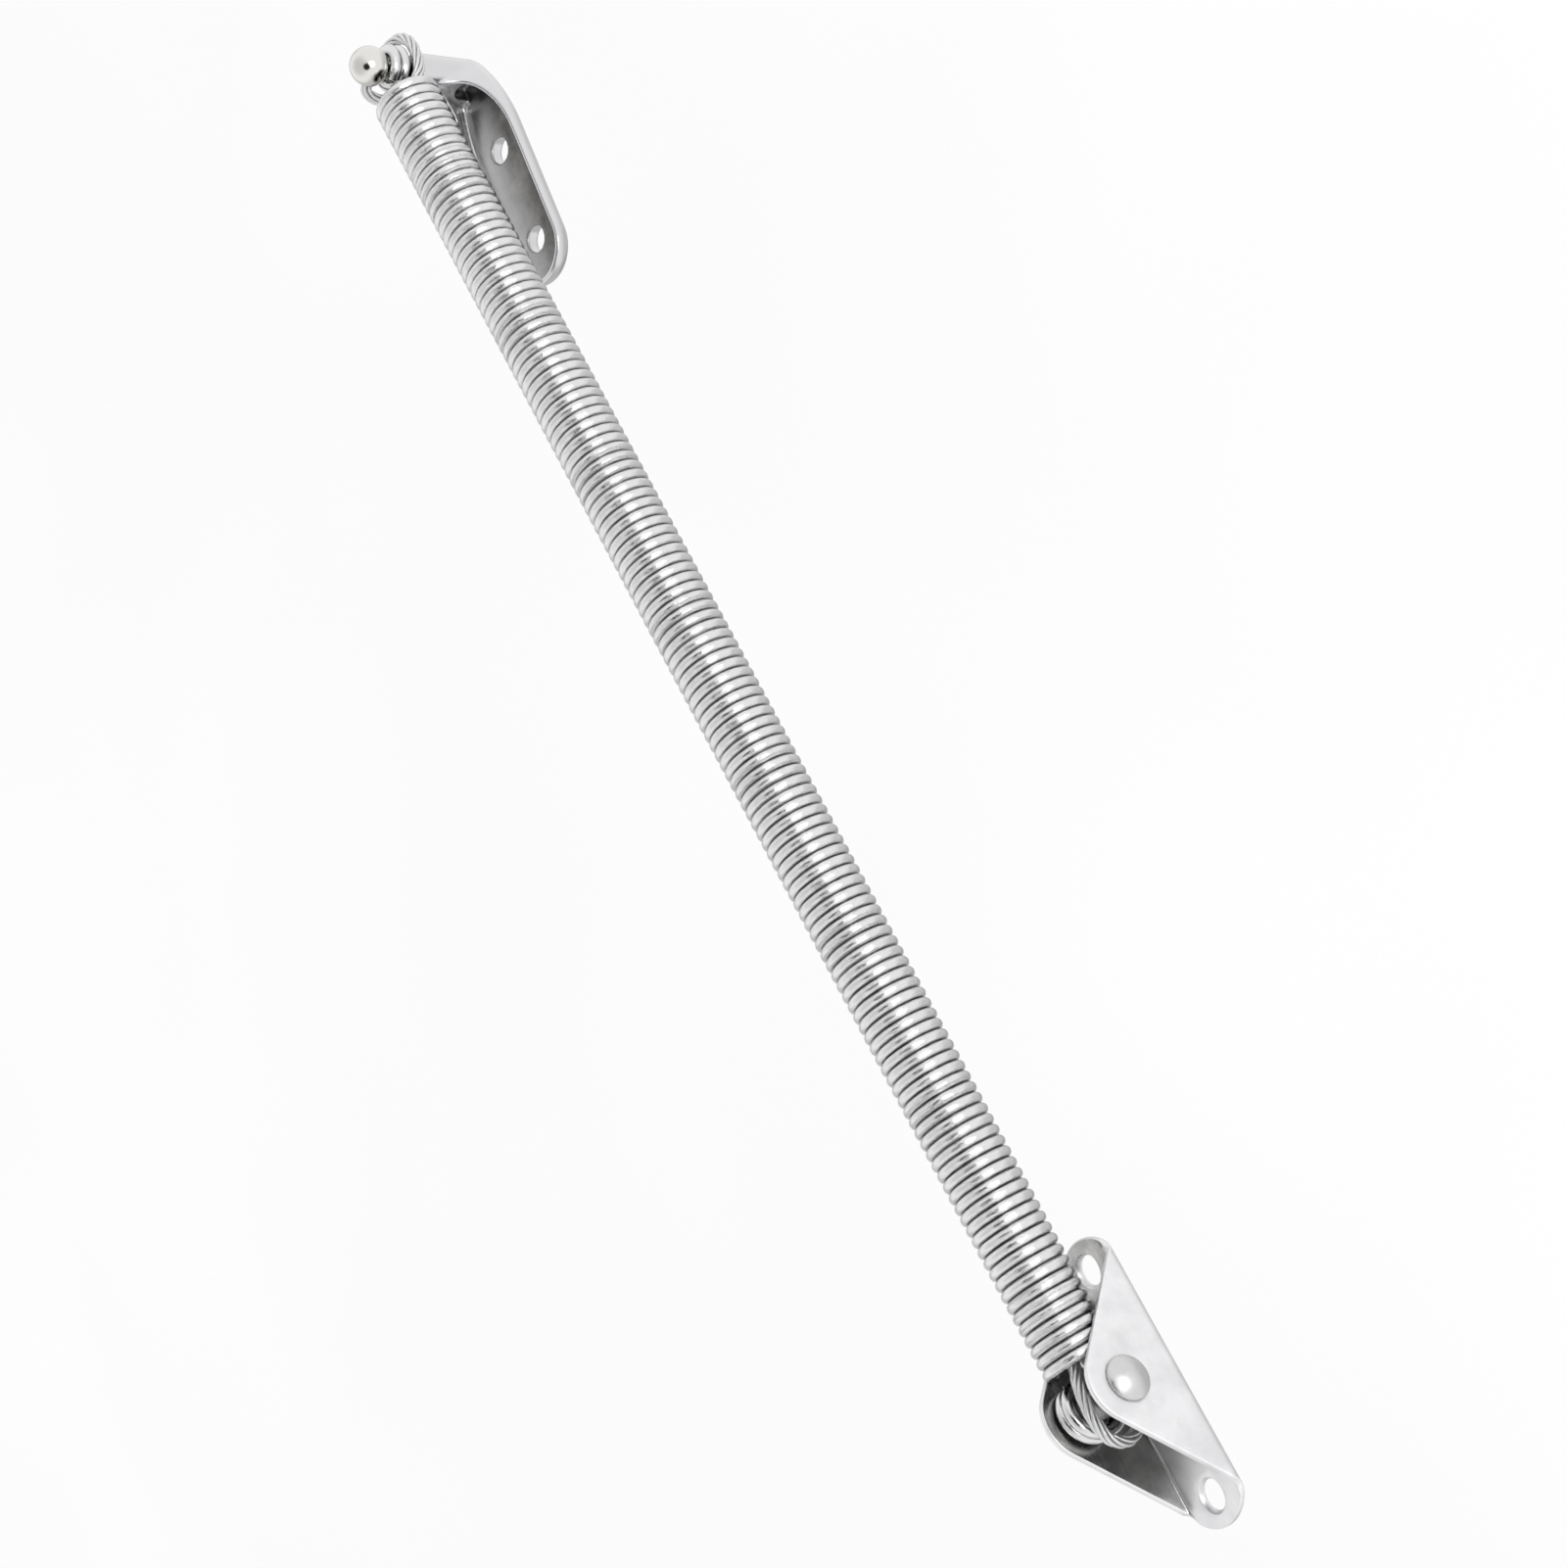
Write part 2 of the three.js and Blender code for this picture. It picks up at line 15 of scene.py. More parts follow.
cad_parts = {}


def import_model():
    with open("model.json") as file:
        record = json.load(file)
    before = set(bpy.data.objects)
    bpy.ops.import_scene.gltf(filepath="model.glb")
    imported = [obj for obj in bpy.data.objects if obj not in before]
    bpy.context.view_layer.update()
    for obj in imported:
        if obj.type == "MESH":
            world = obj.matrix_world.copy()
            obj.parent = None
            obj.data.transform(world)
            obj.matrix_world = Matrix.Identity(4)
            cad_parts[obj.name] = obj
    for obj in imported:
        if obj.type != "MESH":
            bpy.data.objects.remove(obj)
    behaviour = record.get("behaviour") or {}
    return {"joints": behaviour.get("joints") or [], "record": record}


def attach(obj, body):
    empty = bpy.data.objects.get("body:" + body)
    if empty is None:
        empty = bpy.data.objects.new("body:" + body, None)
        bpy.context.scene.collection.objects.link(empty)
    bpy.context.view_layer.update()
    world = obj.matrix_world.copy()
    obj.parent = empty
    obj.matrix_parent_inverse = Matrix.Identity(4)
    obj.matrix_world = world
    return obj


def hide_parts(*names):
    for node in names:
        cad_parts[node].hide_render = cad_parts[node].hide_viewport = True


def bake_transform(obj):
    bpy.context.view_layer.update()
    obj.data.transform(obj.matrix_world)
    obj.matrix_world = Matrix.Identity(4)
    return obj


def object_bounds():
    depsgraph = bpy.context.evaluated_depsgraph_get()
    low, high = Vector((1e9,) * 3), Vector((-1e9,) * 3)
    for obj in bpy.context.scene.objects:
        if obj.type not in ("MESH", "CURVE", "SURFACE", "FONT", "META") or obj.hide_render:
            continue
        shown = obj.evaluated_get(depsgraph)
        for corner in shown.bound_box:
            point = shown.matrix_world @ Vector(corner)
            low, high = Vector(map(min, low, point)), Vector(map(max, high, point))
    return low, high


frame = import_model()
cad_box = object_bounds()
MM = 0.001

# ---- driving dimensions ----
WIRE = 1.6
WIRE_GAP = 0.012  # between close-wound turns
COIL_R = 4.39
COIL_PITCH = 1.6
COIL_TURNS = 131
COIL_START = 4.8
COIL_END_ANGLE = 77  # degrees, from +Z towards +Y
COIL_STEPS = 44  # path points to a turn

ROPE = 1.8
STRANDS = 6
STRAND_LAY = 13  # rope length in which a strand goes round once
WIRE_LAY = 5  # the same for the wires in a strand
FERRULE_LENGTH = 6.5
FERRULE_WALL = 0.55
FERRULE_START = 6
LEG_OFFSET = 0.95  # of each rope leg from the ferrule's middle
LEG_RETURN = 4.6  # beyond the ferrule, where the rope is back on the spring's centre line
FERRULE_Y = -0.9
TAIL_Y = 1.8  # an eye's tail in the bore
TAIL_Z = -1.5
ANCHOR_START = 17.7  # the gripping coil at the tail's end
ANCHOR_R = 2.35
ANCHOR_TURNS = 1.5
LOWER_EYE_R = 3.7
UPPER_EYE_R = 2.8
EYE_TURNS = 1.7
EYE_PITCH = 1.63
LOWER_EYE_Y = 1.71
UPPER_EYE_Z = -0.6

SHEET = 0.9
CLEVIS_WIDTH = 12.8
CLEVIS_HALF_LENGTH = 20.4
EAR_HALF_LENGTH = 16.3
EAR_APEX_R = 5.83
FOLD_R = 1.4
SHEET_EDGE_R = 0.22
RIVET_R = 2.4
RIVET_HEAD_R = 3.1
RIVET_HEAD_HEIGHT = 1.7
SCREW_HOLE_X = 16.25
SCREW_HOLE_R = 2.05
SCREW_MOUTH_R = 2.4

BALL_R = 3
BALL_Z = 4.8
NECK_R = 1.6
PIN_END_Z = -8
SHOULDER_Z = -2.9
ARM_R = 2.8
ARM_BEND_R = 6.5
DISH_BACK_Z = -15.6
DISH_FLOOR = 2.1
DISH_RIM = 3.1
DISH_WALL = 0.8
DISH_EDGE_R = 2.3
DISH_HALF_WIDTH = 6
DISH_END_X = -37.8
DISH_SHOULDER_X = -12
ARM_LEAVE = 60  # degrees round the arm where the dish's outline leaves it
DISH_HOLES_X = (-13.8, -30.3)
WEB_LEAN = 0.5  # how fast the dish's walls lean in as they climb the arm
POCKET_R = 2
POCKET_TOP_Z = -10
POCKET_DEPTH = 2.2
DISH_HOLE_R = 2.05
DISH_STEP = 0.24  # grid step of the stud bracket's surface

ROUNDED_END = ((0.3, 0.72), (0.22, 0.9), (0.1, 0.985))  # past a wire's end and across, in radii
SPAN_SAMPLES = 24  # points to each span of a curve, before it is sampled evenly

# ---- frames ----
JOINTS = {joint["name"]: joint for joint in frame["joints"]}
MOUNTS = {mount["name"]: mount for mount in frame["record"]["mounts"]}


def unit(v):
    return v / np.linalg.norm(v, axis=-1, keepdims=True)


def joint_point(name):
    return np.array(JOINTS[name]["pos_m"]) / MM


def joint_axis(name):
    return unit(np.array(JOINTS[name]["axis"], float))


class Place:
    """An origin and three axes in the row frame, in millimetres."""

    def __init__(self, origin, x, y, z):
        self.origin = origin
        self.axes = np.array([x, y, z])

    def __call__(self, *points):
        return np.array(points, float).reshape(-1, 3) @ self.axes + self.origin


def spring_place():
    x = joint_axis("spring_twist")
    y = -joint_axis("flex_1")
    on_axis = joint_point("spring_twist")
    return Place(on_axis - x * on_axis[0] / x[0], x, y, np.cross(x, y))


def stud_place():
    z = joint_axis("stud_pivot")
    origin = joint_point("stud_pivot")
    to_mount = np.array(MOUNTS["stud_bracket_face"]["pos_m"]) / MM - origin
    x = unit(z * (to_mount @ z) - to_mount)
    return Place(origin, x, np.cross(z, x), z)


SPRING = spring_place()
STUD = stud_place()
RIVET = Place(joint_point("rivet_pivot"), *np.eye(3))
CUTS = [float((joint_point(f"flex_{i}") - SPRING.origin) @ SPRING.axes[0]) for i in range(1, 8)]
HALF_PIECE = (CUTS[1] - CUTS[0]) / 2
LOW_END = COIL_START
HIGH_END = COIL_START + WIRE + COIL_TURNS * COIL_PITCH
ROPE_START = LOW_END + FERRULE_START + FERRULE_LENGTH + LEG_RETURN + 0.5  # past the lower loop


# ---- meshes ----
def make_object(name, points, faces, material, run=None):
    """A smooth-shaded object from points in row-frame millimetres."""
    mesh = bpy.data.meshes.new(name)
    mesh.from_pydata((np.asarray(points) * MM).tolist(), [], faces)
    mesh.shade_smooth()
    mesh.materials.append(material)
    if run is not None:
        attribute = mesh.attributes.new("run", "FLOAT_VECTOR", "POINT")
        attribute.data.foreach_set("vector", np.asarray(run, np.float32).ravel())
    mesh.validate()
    thing = bpy.data.objects.new(name, mesh)
    bpy.context.scene.collection.objects.link(thing)
    return thing


def store_painted_shade(thing, shade):
    """Stores how much painted shade each point gets, in an attribute named inside."""
    attribute = thing.data.attributes.new("inside", "FLOAT", "POINT")
    attribute.data.foreach_set("value", np.asarray(shade, np.float32))


def ring_faces(start, rings, sides, closed=True):
    """Quads between consecutive rings of points."""
    faces = []
    for i in range(rings - 1):
        for j in range(sides if closed else sides - 1):
            a = start + i * sides + j
            b = start + i * sides + (j + 1) % sides
            faces.append((a, b, b + sides, a + sides))
    return faces


def carried_frames(path):
    """Tangent and two side vectors along a path, carried without twist."""
    tangents = unit(np.gradient(path, axis=0))
    across_any_start = [0.31, 0.27, 0.91]
    side = np.cross(tangents[0], across_any_start)
    sides = []
    for tangent in tangents:
        side = side - tangent * (side @ tangent)
        side = side / np.linalg.norm(side)
        sides.append(side)
    sides = np.array(sides)
    return tangents, sides, np.cross(tangents, sides)


def distances(path):
    steps = np.linalg.norm(np.diff(path, axis=0), axis=1)
    return np.concatenate([[0], np.cumsum(steps)])


def tube(path, radius, sides=16, round_ends=True, lobes=0, lay=0):
    """Points, faces and run coordinates of a wire along a path. Lobes make it a laid strand."""
    tangents, u, v = carried_frames(path)
    along = distances(path)
    scale = np.ones(len(path))
    if round_ends:
        past, across = np.array(ROUNDED_END).T
        more = len(past)
        shift = np.concatenate([-past, np.zeros(len(path)), past[::-1]])
        scale = np.concatenate([across, scale, across[::-1]])
        path, tangents, u, v, along = [
            np.concatenate([a[:1]] * more + [a] + [a[-1:]] * more) for a in (path, tangents, u, v, along)
        ]
        path = path + tangents * (shift * radius)[:, None]
    angle = np.linspace(0, 2 * math.pi, sides, endpoint=False)
    size = np.full((len(path), sides), float(radius)) * scale[:, None]
    if lobes:
        turn = angle[None, :] + 2 * math.pi * along[:, None] / lay
        size *= 0.9 + 0.13 * np.abs(np.cos(lobes / 2 * turn))
    cosine, sine = np.cos(angle), np.sin(angle)
    around = u[:, None, :] * cosine[None, :, None] + v[:, None, :] * sine[None, :, None]
    points = path[:, None, :] + around * size[:, :, None]
    run = np.stack(
        [np.repeat(along, sides), np.tile(angle, len(path)), np.zeros(len(path) * sides)], axis=1
    )
    faces = ring_faces(0, len(path), sides)
    faces.append(tuple(range(sides))[::-1])
    last = (len(path) - 1) * sides
    faces.append(tuple(range(last, last + sides)))
    return points.reshape(-1, 3), faces, run


def joined(pieces):
    """Several (points, faces, run) sets as one."""
    points, faces, runs = [], [], []
    count = 0
    for piece_points, piece_faces, run in pieces:
        faces += [tuple(i + count for i in face) for face in piece_faces]
        points.append(piece_points)
        runs.append(run)
        count += len(piece_points)
    return np.concatenate(points), faces, np.concatenate(runs)


def through(points, spacing=0.25):
    """A centripetal Catmull-Rom curve through points, sampled evenly."""
    points = np.asarray(points, float)
    padded = np.concatenate([2 * points[:1] - points[1:2], points, 2 * points[-1:] - points[-2:-1]])
    samples = []
    for p0, p1, p2, p3 in zip(padded, padded[1:], padded[2:], padded[3:]):
        t1 = np.linalg.norm(p1 - p0) ** 0.5
        t2 = t1 + np.linalg.norm(p2 - p1) ** 0.5
        t3 = t2 + np.linalg.norm(p3 - p2) ** 0.5
        t = np.linspace(t1, t2, SPAN_SAMPLES, endpoint=False)[:, None]
        a1 = (t1 - t) / t1 * p0 + t / t1 * p1
        a2 = (t2 - t) / (t2 - t1) * p1 + (t - t1) / (t2 - t1) * p2
        a3 = (t3 - t) / (t3 - t2) * p2 + (t - t2) / (t3 - t2) * p3
        b1 = (t2 - t) / t2 * a1 + t / t2 * a2
        b2 = (t3 - t) / (t3 - t1) * a2 + (t - t1) / (t3 - t1) * a3
        samples.append((t2 - t) / (t2 - t1) * b1 + (t - t1) / (t2 - t1) * b2)
    dense = np.concatenate(samples + [points[-1:]])
    along = distances(dense)
    count = max(2, round(along[-1] / spacing))
    even = np.linspace(0, along[-1], count + 1)
    return np.stack([np.interp(even, along, dense[:, k]) for k in range(3)], axis=1)


def turned(name, profile, place, axis, material, sides=72):
    """A solid of revolution about one of a place's axes; the profile's ends are on the axis."""
    angle = np.linspace(0, 2 * math.pi, sides, endpoint=False)
    rings = np.array(profile[1:-1], float)
    radial = np.zeros((len(rings), sides, 3))
    first, second = [(1, 2), (2, 0), (0, 1)][axis]
    radial[:, :, first] = rings[:, :1] * np.cos(angle)
    radial[:, :, second] = rings[:, :1] * np.sin(angle)
    radial[:, :, axis] = rings[:, 1:]
    poles = np.zeros((2, 3))
    poles[0, axis] = profile[0][1]
    poles[1, axis] = profile[-1][1]
    points = np.concatenate([radial.reshape(-1, 3), poles])
    faces = ring_faces(0, len(rings), sides)
    low, high = len(points) - 2, len(points) - 1
    last = (len(rings) - 1) * sides
    for j in range(sides):
        k = (j + 1) % sides
        faces.append((low, k, j))
        faces.append((high, last + j, last + k))
    return make_object(name, place(points), faces, material)


def arc(centre, radius, start, end, count):
    """Points on an arc, in degrees."""
    angles = np.radians(np.linspace(start, end, count + 1))
    return [(centre[0] + radius * math.cos(a), centre[1] + radius * math.sin(a)) for a in angles]


# ---- materials ----
class Nodes:
    """A short way to write a material's node tree."""

    def __init__(self, name):
        self.material = bpy.data.materials.new(name)
        self.material.use_nodes = True
        self.tree = self.material.node_tree
        self.bsdf = self.tree.nodes["Principled BSDF"]

    def add(self, kind, inputs=None, **settings):
        node = self.tree.nodes.new(kind)
        for key, value in settings.items():
            setattr(node, key, value)
        for key, value in (inputs or {}).items():
            self.put(node.inputs[key], value)
        return node

    def put(self, socket, value):
        if isinstance(value, bpy.types.NodeSocket):
            self.tree.links.new(value, socket)
        else:
            socket.default_value = value

    def noise(self, where, scale, detail=3, roughness=0.6):
        inputs = {"Vector": where, "Scale": scale, "Detail": detail, "Roughness": roughness}
        return self.add("ShaderNodeTexNoise", inputs).outputs["Fac"]

    def stretched(self, where, scale):
        return self.add("ShaderNodeMapping", {"Vector": where, "Scale": scale}).outputs["Vector"]

    def spread(self, value, low, high, from_low=0.35, from_high=0.65):
        """A value's change from from_low to from_high, spread over low to high."""
        inputs = {"Value": value, "From Min": from_low, "From Max": from_high}
        inputs.update({"To Min": low, "To Max": high})
        return self.add("ShaderNodeMapRange", inputs).outputs["Result"]

    def tint(self, factor, dark, light):
        ramp = self.add("ShaderNodeMix", {"Factor": factor}, data_type="RGBA")
        self.put(ramp.inputs["A"], (*dark, 1))
        self.put(ramp.inputs["B"], (*light, 1))
        return ramp.outputs["Result"]

    def mix_in_painted_shade(self, bright, painted_shade_colour):
        """The plain colour outside a piece, and the colour with painted shade inside it."""
        inside = self.add("ShaderNodeAttribute", attribute_name="inside").outputs["Fac"]
        mixed = self.add("ShaderNodeMix", {"Factor": inside}, data_type="RGBA")
        self.put(mixed.inputs["A"], bright)
        self.put(mixed.inputs["B"], painted_shade_colour)
        return mixed.outputs["Result"]

    def bump(self, height, strength, distance, normal=None):
        inputs = {"Height": height, "Strength": strength, "Distance": distance}
        if normal:
            inputs["Normal"] = normal
        return self.add("ShaderNodeBump", inputs).outputs["Normal"]

    def shaded(self, colour, darkest, reach):
        """A colour with painted shade where surfaces close in on each other."""
        inputs = {"Distance": reach * MM}
        open_sky = self.add("ShaderNodeAmbientOcclusion", inputs, samples=8).outputs["AO"]
        factor = self.spread(open_sky, darkest, 1, 0.1, 0.85)
        mixed = self.add("ShaderNodeVectorMath", {0: colour}, operation="SCALE")
        self.put(mixed.inputs["Scale"], factor)
        return mixed.outputs["Vector"]

    def finish(self, **inputs):
        self.put(self.bsdf.inputs["Metallic"], 1.0)
        for key, value in inputs.items():
            self.put(self.bsdf.inputs[key.replace("_", " ")], value)
        return self.material


def drawn_wire(name, dark, light, rough, wave=0.3):
    """Drawn wire: fine scratches along it and a slow change of brightness."""
    nodes = Nodes(name)
    run = nodes.add("ShaderNodeAttribute", attribute_name="run").outputs["Vector"]
    scratches = nodes.noise(nodes.stretched(run, (0.35, 9, 1)), 1.0, 4)
    waves = nodes.noise(nodes.stretched(run, (0.6, 2.2, 1)), 1.0, 3)
    clouds = nodes.noise(nodes.stretched(run, (0.16, 0.6, 1)), 1.0, 2)
    wavy = nodes.bump(waves, wave, 0.00018)
    # painted shade darkens the wire where it closes in on other turns and parts
    return nodes.finish(
        Base_Color=nodes.shaded(nodes.tint(clouds, dark, light), 0.55, 0.7),
        Roughness=nodes.spread(scratches, rough * 0.75, rough * 1.35),
        Normal=nodes.bump(scratches, 0.18, 0.00004, wavy),
    )


def polished_steel(name, dark, light, rough):
    nodes = Nodes(name)
    where = nodes.add("ShaderNodeTexCoord").outputs["Object"]
    clouds = nodes.noise(where, 420, 3)
    marks = nodes.noise(nodes.stretched(where, (1500, 1500, 5200)), 1.0, 3)
    return nodes.finish(
        Base_Color=nodes.tint(clouds, dark, light),
        Roughness=nodes.spread(clouds, rough * 0.7, rough * 1.5),
        Normal=nodes.bump(marks, 0.06, 0.00003),
    )


def brushed_sheet(name):
    """Rolled sheet: a fine grain along X, faint pits and cloudy brightness; painted shade darkens it
    inside.
    """
    nodes = Nodes(name)
    where = nodes.add("ShaderNodeTexCoord").outputs["Object"]
    grain = nodes.noise(nodes.stretched(where, (160, 5200, 5200)), 1.0, 4)
    clouds = nodes.noise(where, 240, 3)
    pits = nodes.spread(nodes.noise(where, 2600, 1), 0, 1, 0.3, 0.36)
    height = nodes.add("ShaderNodeMath", {0: grain, 1: pits}, operation="ADD").outputs[0]
    bright = nodes.tint(nodes.spread(clouds, 0, 1), (0.70, 0.70, 0.71), (0.80, 0.80, 0.81))
    # painted shade: the darker colour for the ears' inner faces and the base under the spring's end
    painted_shade_colour = nodes.tint(nodes.spread(clouds, 0, 1), (0.34, 0.337, 0.332), (0.50, 0.496, 0.49))
    inside = nodes.add("ShaderNodeAttribute", attribute_name="inside").outputs["Fac"]
    rough_out = nodes.spread(grain, 0.42, 0.5)
    rough_in = nodes.spread(grain, 0.22, 0.28)
    rough = nodes.add("ShaderNodeMix", {"Factor": inside, "A": rough_out, "B": rough_in})
    return nodes.finish(
        Base_Color=nodes.shaded(nodes.mix_in_painted_shade(bright, painted_shade_colour), 0.75, 1.5),
        Roughness=rough.outputs["Result"],
        Normal=nodes.bump(height, 0.08, 0.00003),
    )


def cast_steel(name):
    """Tumbled casting: bright outside; rougher and mottled inside the dish, with painted shade darkening
    it there.
    """
    nodes = Nodes(name)
    where = nodes.add("ShaderNodeTexCoord").outputs["Object"]
    inside = nodes.add("ShaderNodeAttribute", attribute_name="inside").outputs["Fac"]
    mottle = nodes.noise(where, 230, 5, 0.6)
    fine = nodes.noise(where, 2400, 3)
    bright = nodes.tint(mottle, (0.58, 0.58, 0.59), (0.66, 0.66, 0.67))
    # painted shade: the darker colour for the dish and the pocket at the arm's foot
    painted_shade_colour = nodes.tint(nodes.spread(mottle, 0, 1), (0.10, 0.097, 0.093), (0.21, 0.206, 0.20))
    rough_out = nodes.spread(mottle, 0.16, 0.28)
    rough_in = nodes.spread(fine, 0.36, 0.46)
    rough = nodes.add("ShaderNodeMix", {"Factor": inside, "A": rough_out, "B": rough_in})
    height = nodes.add("ShaderNodeMath", {0: mottle, 1: fine}, operation="ADD").outputs[0]
    return nodes.finish(
        Base_Color=nodes.shaded(nodes.mix_in_painted_shade(bright, painted_shade_colour), 0.6, 2),
        Roughness=rough.outputs["Result"],
        Normal=nodes.bump(height, 0.05, 0.00006),
    )


SPRING_WIRE = drawn_wire("spring_wire", (0.64, 0.64, 0.64), (0.72, 0.72, 0.72), 0.17, 0.8)
EYE_WIRE = drawn_wire("eye_wire", (0.62, 0.62, 0.62), (0.70, 0.70, 0.70), 0.12)
ROPE_WIRE = drawn_wire("rope_wire", (0.62, 0.62, 0.62), (0.72, 0.72, 0.72), 0.4)
FERRULE_STEEL = polished_steel("ferrule_steel", (0.45, 0.45, 0.46), (0.56, 0.56, 0.57), 0.34)
SHEET_STEEL = brushed_sheet("sheet_steel")
BALL_STEEL = polished_steel("ball_steel", (0.64, 0.63, 0.61), (0.70, 0.69, 0.66), 0.09)
RIVET_STEEL = polished_steel("rivet_steel", (0.54, 0.54, 0.54), (0.64, 0.64, 0.64), 0.3)
CAST_STEEL = cast_steel("cast_steel")


# ---- spring ----
def coil_path(low, high):
    """The coil's centre line between two turn counts."""
    turns = np.linspace(low, high, round((high - low) * COIL_STEPS) + 1)
    angle = math.radians(COIL_END_ANGLE) - 2 * math.pi * turns
    x = COIL_START + WIRE / 2 + turns * COIL_PITCH
    return SPRING(*np.stack([x, COIL_R * np.sin(angle), COIL_R * np.cos(angle)], axis=1))


def turn_at(x):
    """The coil's turn count at a place along the spring."""
    return (x - COIL_START - WIRE / 2) / COIL_PITCH


def piece_ends(i):
    """Where piece i starts and ends along the spring: at the middles of two lengths."""
    low = CUTS[i] - HALF_PIECE if i else None
    high = CUTS[i] + HALF_PIECE if i < len(CUTS) - 1 else None
    return low, high


def bend(thing, i):
    """Bakes a piece of spring or rope's placement into its points; where hinge i + 1's length starts and
    ends is worked out but not used.
    """
    start = SPRING((CUTS[i] - HALF_PIECE, 0, 0))[0] * MM
    end = SPRING((CUTS[i] + HALF_PIECE, 0, 0))[0] * MM
    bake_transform(thing)


def spring_coils():
    for i in range(len(CUTS)):
        low, high = piece_ends(i)
        turns = (turn_at(low) if low else 0, turn_at(high) if high else COIL_TURNS)
        path = coil_path(*turns)
        points, faces, run = tube(path, (WIRE - WIRE_GAP) / 2, 14, round_ends=False)
        coil = make_object(f"coil_{i + 1}", points, faces, SPRING_WIRE, run)
        bend(coil, i)
        nodes = [f"spring_coils_{i + 1}"] + (["spring_coils_8"] if i == len(CUTS) - 1 else [])
        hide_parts(*nodes)


# ---- rope ----
def laid_rope(path, sides=20):
    """A rope of twisted strands round a core strand, along a path."""
    _, u, v = carried_frames(path)
    along = distances(path)
    strand_r = ROPE / 6
    pieces = [tube(path, strand_r, 8, round_ends=False)]
    for k in range(STRANDS):
        angle = 2 * math.pi * (along / STRAND_LAY + k / STRANDS)
        offset = (u * np.cos(angle)[:, None] + v * np.sin(angle)[:, None]) * (2 * strand_r)
        pieces.append(
            tube(path + offset, strand_r, sides, round_ends=False, lobes=6, lay=-WIRE_LAY)
        )
    return joined(pieces)


def rope_in_bore():
    """The rope's lengths along the spring's centre line. The first belongs to the loop's solid."""
    for i in range(len(CUTS)):
        ends = ((max(CUTS[i] - HALF_PIECE, ROPE_START), 0, 0), (CUTS[i] + HALF_PIECE, 0, 0))
        path = through(SPRING(*ends), 0.5)
        rope = make_object(f"rope_{i + 1}", *laid_rope(path, 10)[:2], ROPE_WIRE)
        bend(rope, i)
        if i:
            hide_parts(f"wire_rope_{i + 1}")


def leg(end, step, side):
    """A leg's straight run through the ferrule, from the loop inwards."""
    stations = (-0.4, 0.6, FERRULE_LENGTH / 2, FERRULE_LENGTH - 0.6, FERRULE_LENGTH + 0.2)
    return [(end + step * (FERRULE_START + x), FERRULE_Y, side * LEG_OFFSET) for x in stations]


def dead_leg(end, step):
    """The leg that ends just past the ferrule."""
    tip = end + step * (FERRULE_START + FERRULE_LENGTH + 0.7)
    return [(tip, FERRULE_Y, LEG_OFFSET)] + leg(end, step, 1)[::-1]


def live_leg(end, step, far):
    """The leg that goes on through the spring: it leaves the ferrule for the centre line."""
    sleeve_end = end + step * (FERRULE_START + FERRULE_LENGTH)
    halfway = (sleeve_end + step * LEG_RETURN / 2, FERRULE_Y / 2, -LEG_OFFSET / 2)
    return leg(end, step, -1) + [halfway, (sleeve_end + step * LEG_RETURN, 0, 0), (far, 0, 0)]


def rope_loop(name, node, body, points, spacing=0.22):
    path = through(points, spacing)
    loop = make_object(name, *laid_rope(path)[:2], ROPE_WIRE)
    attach(loop, body)
    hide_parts(node)


def lower_rope_loop():
    loop = [
        (LOW_END, -1, 2.05),
        (2.6, -1.2, 2.95),
        (0, -1.35, 3.45),
        (-2.4, -1.35, 3.4),
        (-4.9, -1.3, 2.4),
        (-5.9, -1.2, 0),
        (-4.9, -1.1, -2.5),
        (-2.4, -1, -3.5),
        (0, -1, -3.5),
        (2.6, -1, -3),
        (LOW_END, -1, -2.1),
    ]
    points = dead_leg(LOW_END, 1) + loop + live_leg(LOW_END, 1, ROPE_START)
    rope_loop("lower_loop", "lower_rope_loop", "spring_1", SPRING(*points))


def upper_rope_loop():
    start = dead_leg(HIGH_END, -1) + [(HIGH_END - 2.2, 0.5, 1.2), (HIGH_END - 0.1, 1.6, 1.5)]
    round_stud = [
        (-3.1, 3.5, 2.9),
        (-0.6, 4.7, 3),
        (2.5, 4.1, 1),
        (4.9, 1.8, -0.8),
        (5.2, -0.9, -1.8),
        (3.2, -2.9, -1.9),
        (0.3, -3.3, -1.9),
        (-2.2, -2.9, -1.6),
    ]
    end = [(HIGH_END - 0.2, -1.8, -1.4), (HIGH_END - 2.6, -1.1, -0.9)]
    end += live_leg(HIGH_END, -1, CUTS[-1] + HALF_PIECE)
    points = np.concatenate([SPRING(*start), STUD(*round_stud), SPRING(*end)])
    rope_loop("upper_loop", "upper_rope_loop", "upper_end", points)


# ---- eyes ----
def anchor(x, step):
    """The gripping coil on an eye's tail, from x along the bore."""
    turns = np.arange(0, ANCHOR_TURNS + 0.01, 1 / 12)
    angle = math.atan2(TAIL_Z, TAIL_Y) + 2 * math.pi * turns
    along = x + step * turns * EYE_PITCH
    return SPRING(*np.stack([along, ANCHOR_R * np.cos(angle), ANCHOR_R * np.sin(angle)], axis=1))


def wound(start_angle, eye_r):
    """Turn counts, and the two coordinates across the pin, of an eye from its free end."""
    turns = np.linspace(EYE_TURNS, 0, round(EYE_TURNS * 12) + 1)
    angle = math.radians(start_angle) - 2 * math.pi * turns
    return turns, eye_r * np.cos(angle), eye_r * np.sin(angle)


def eye(name, node, body, points):
    path = through(points, 0.2)
    points, faces, run = tube(path, (WIRE - WIRE_GAP) / 2, 20)
    piece = make_object(name, points, faces, EYE_WIRE, run)
    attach(piece, body)
    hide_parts(node)


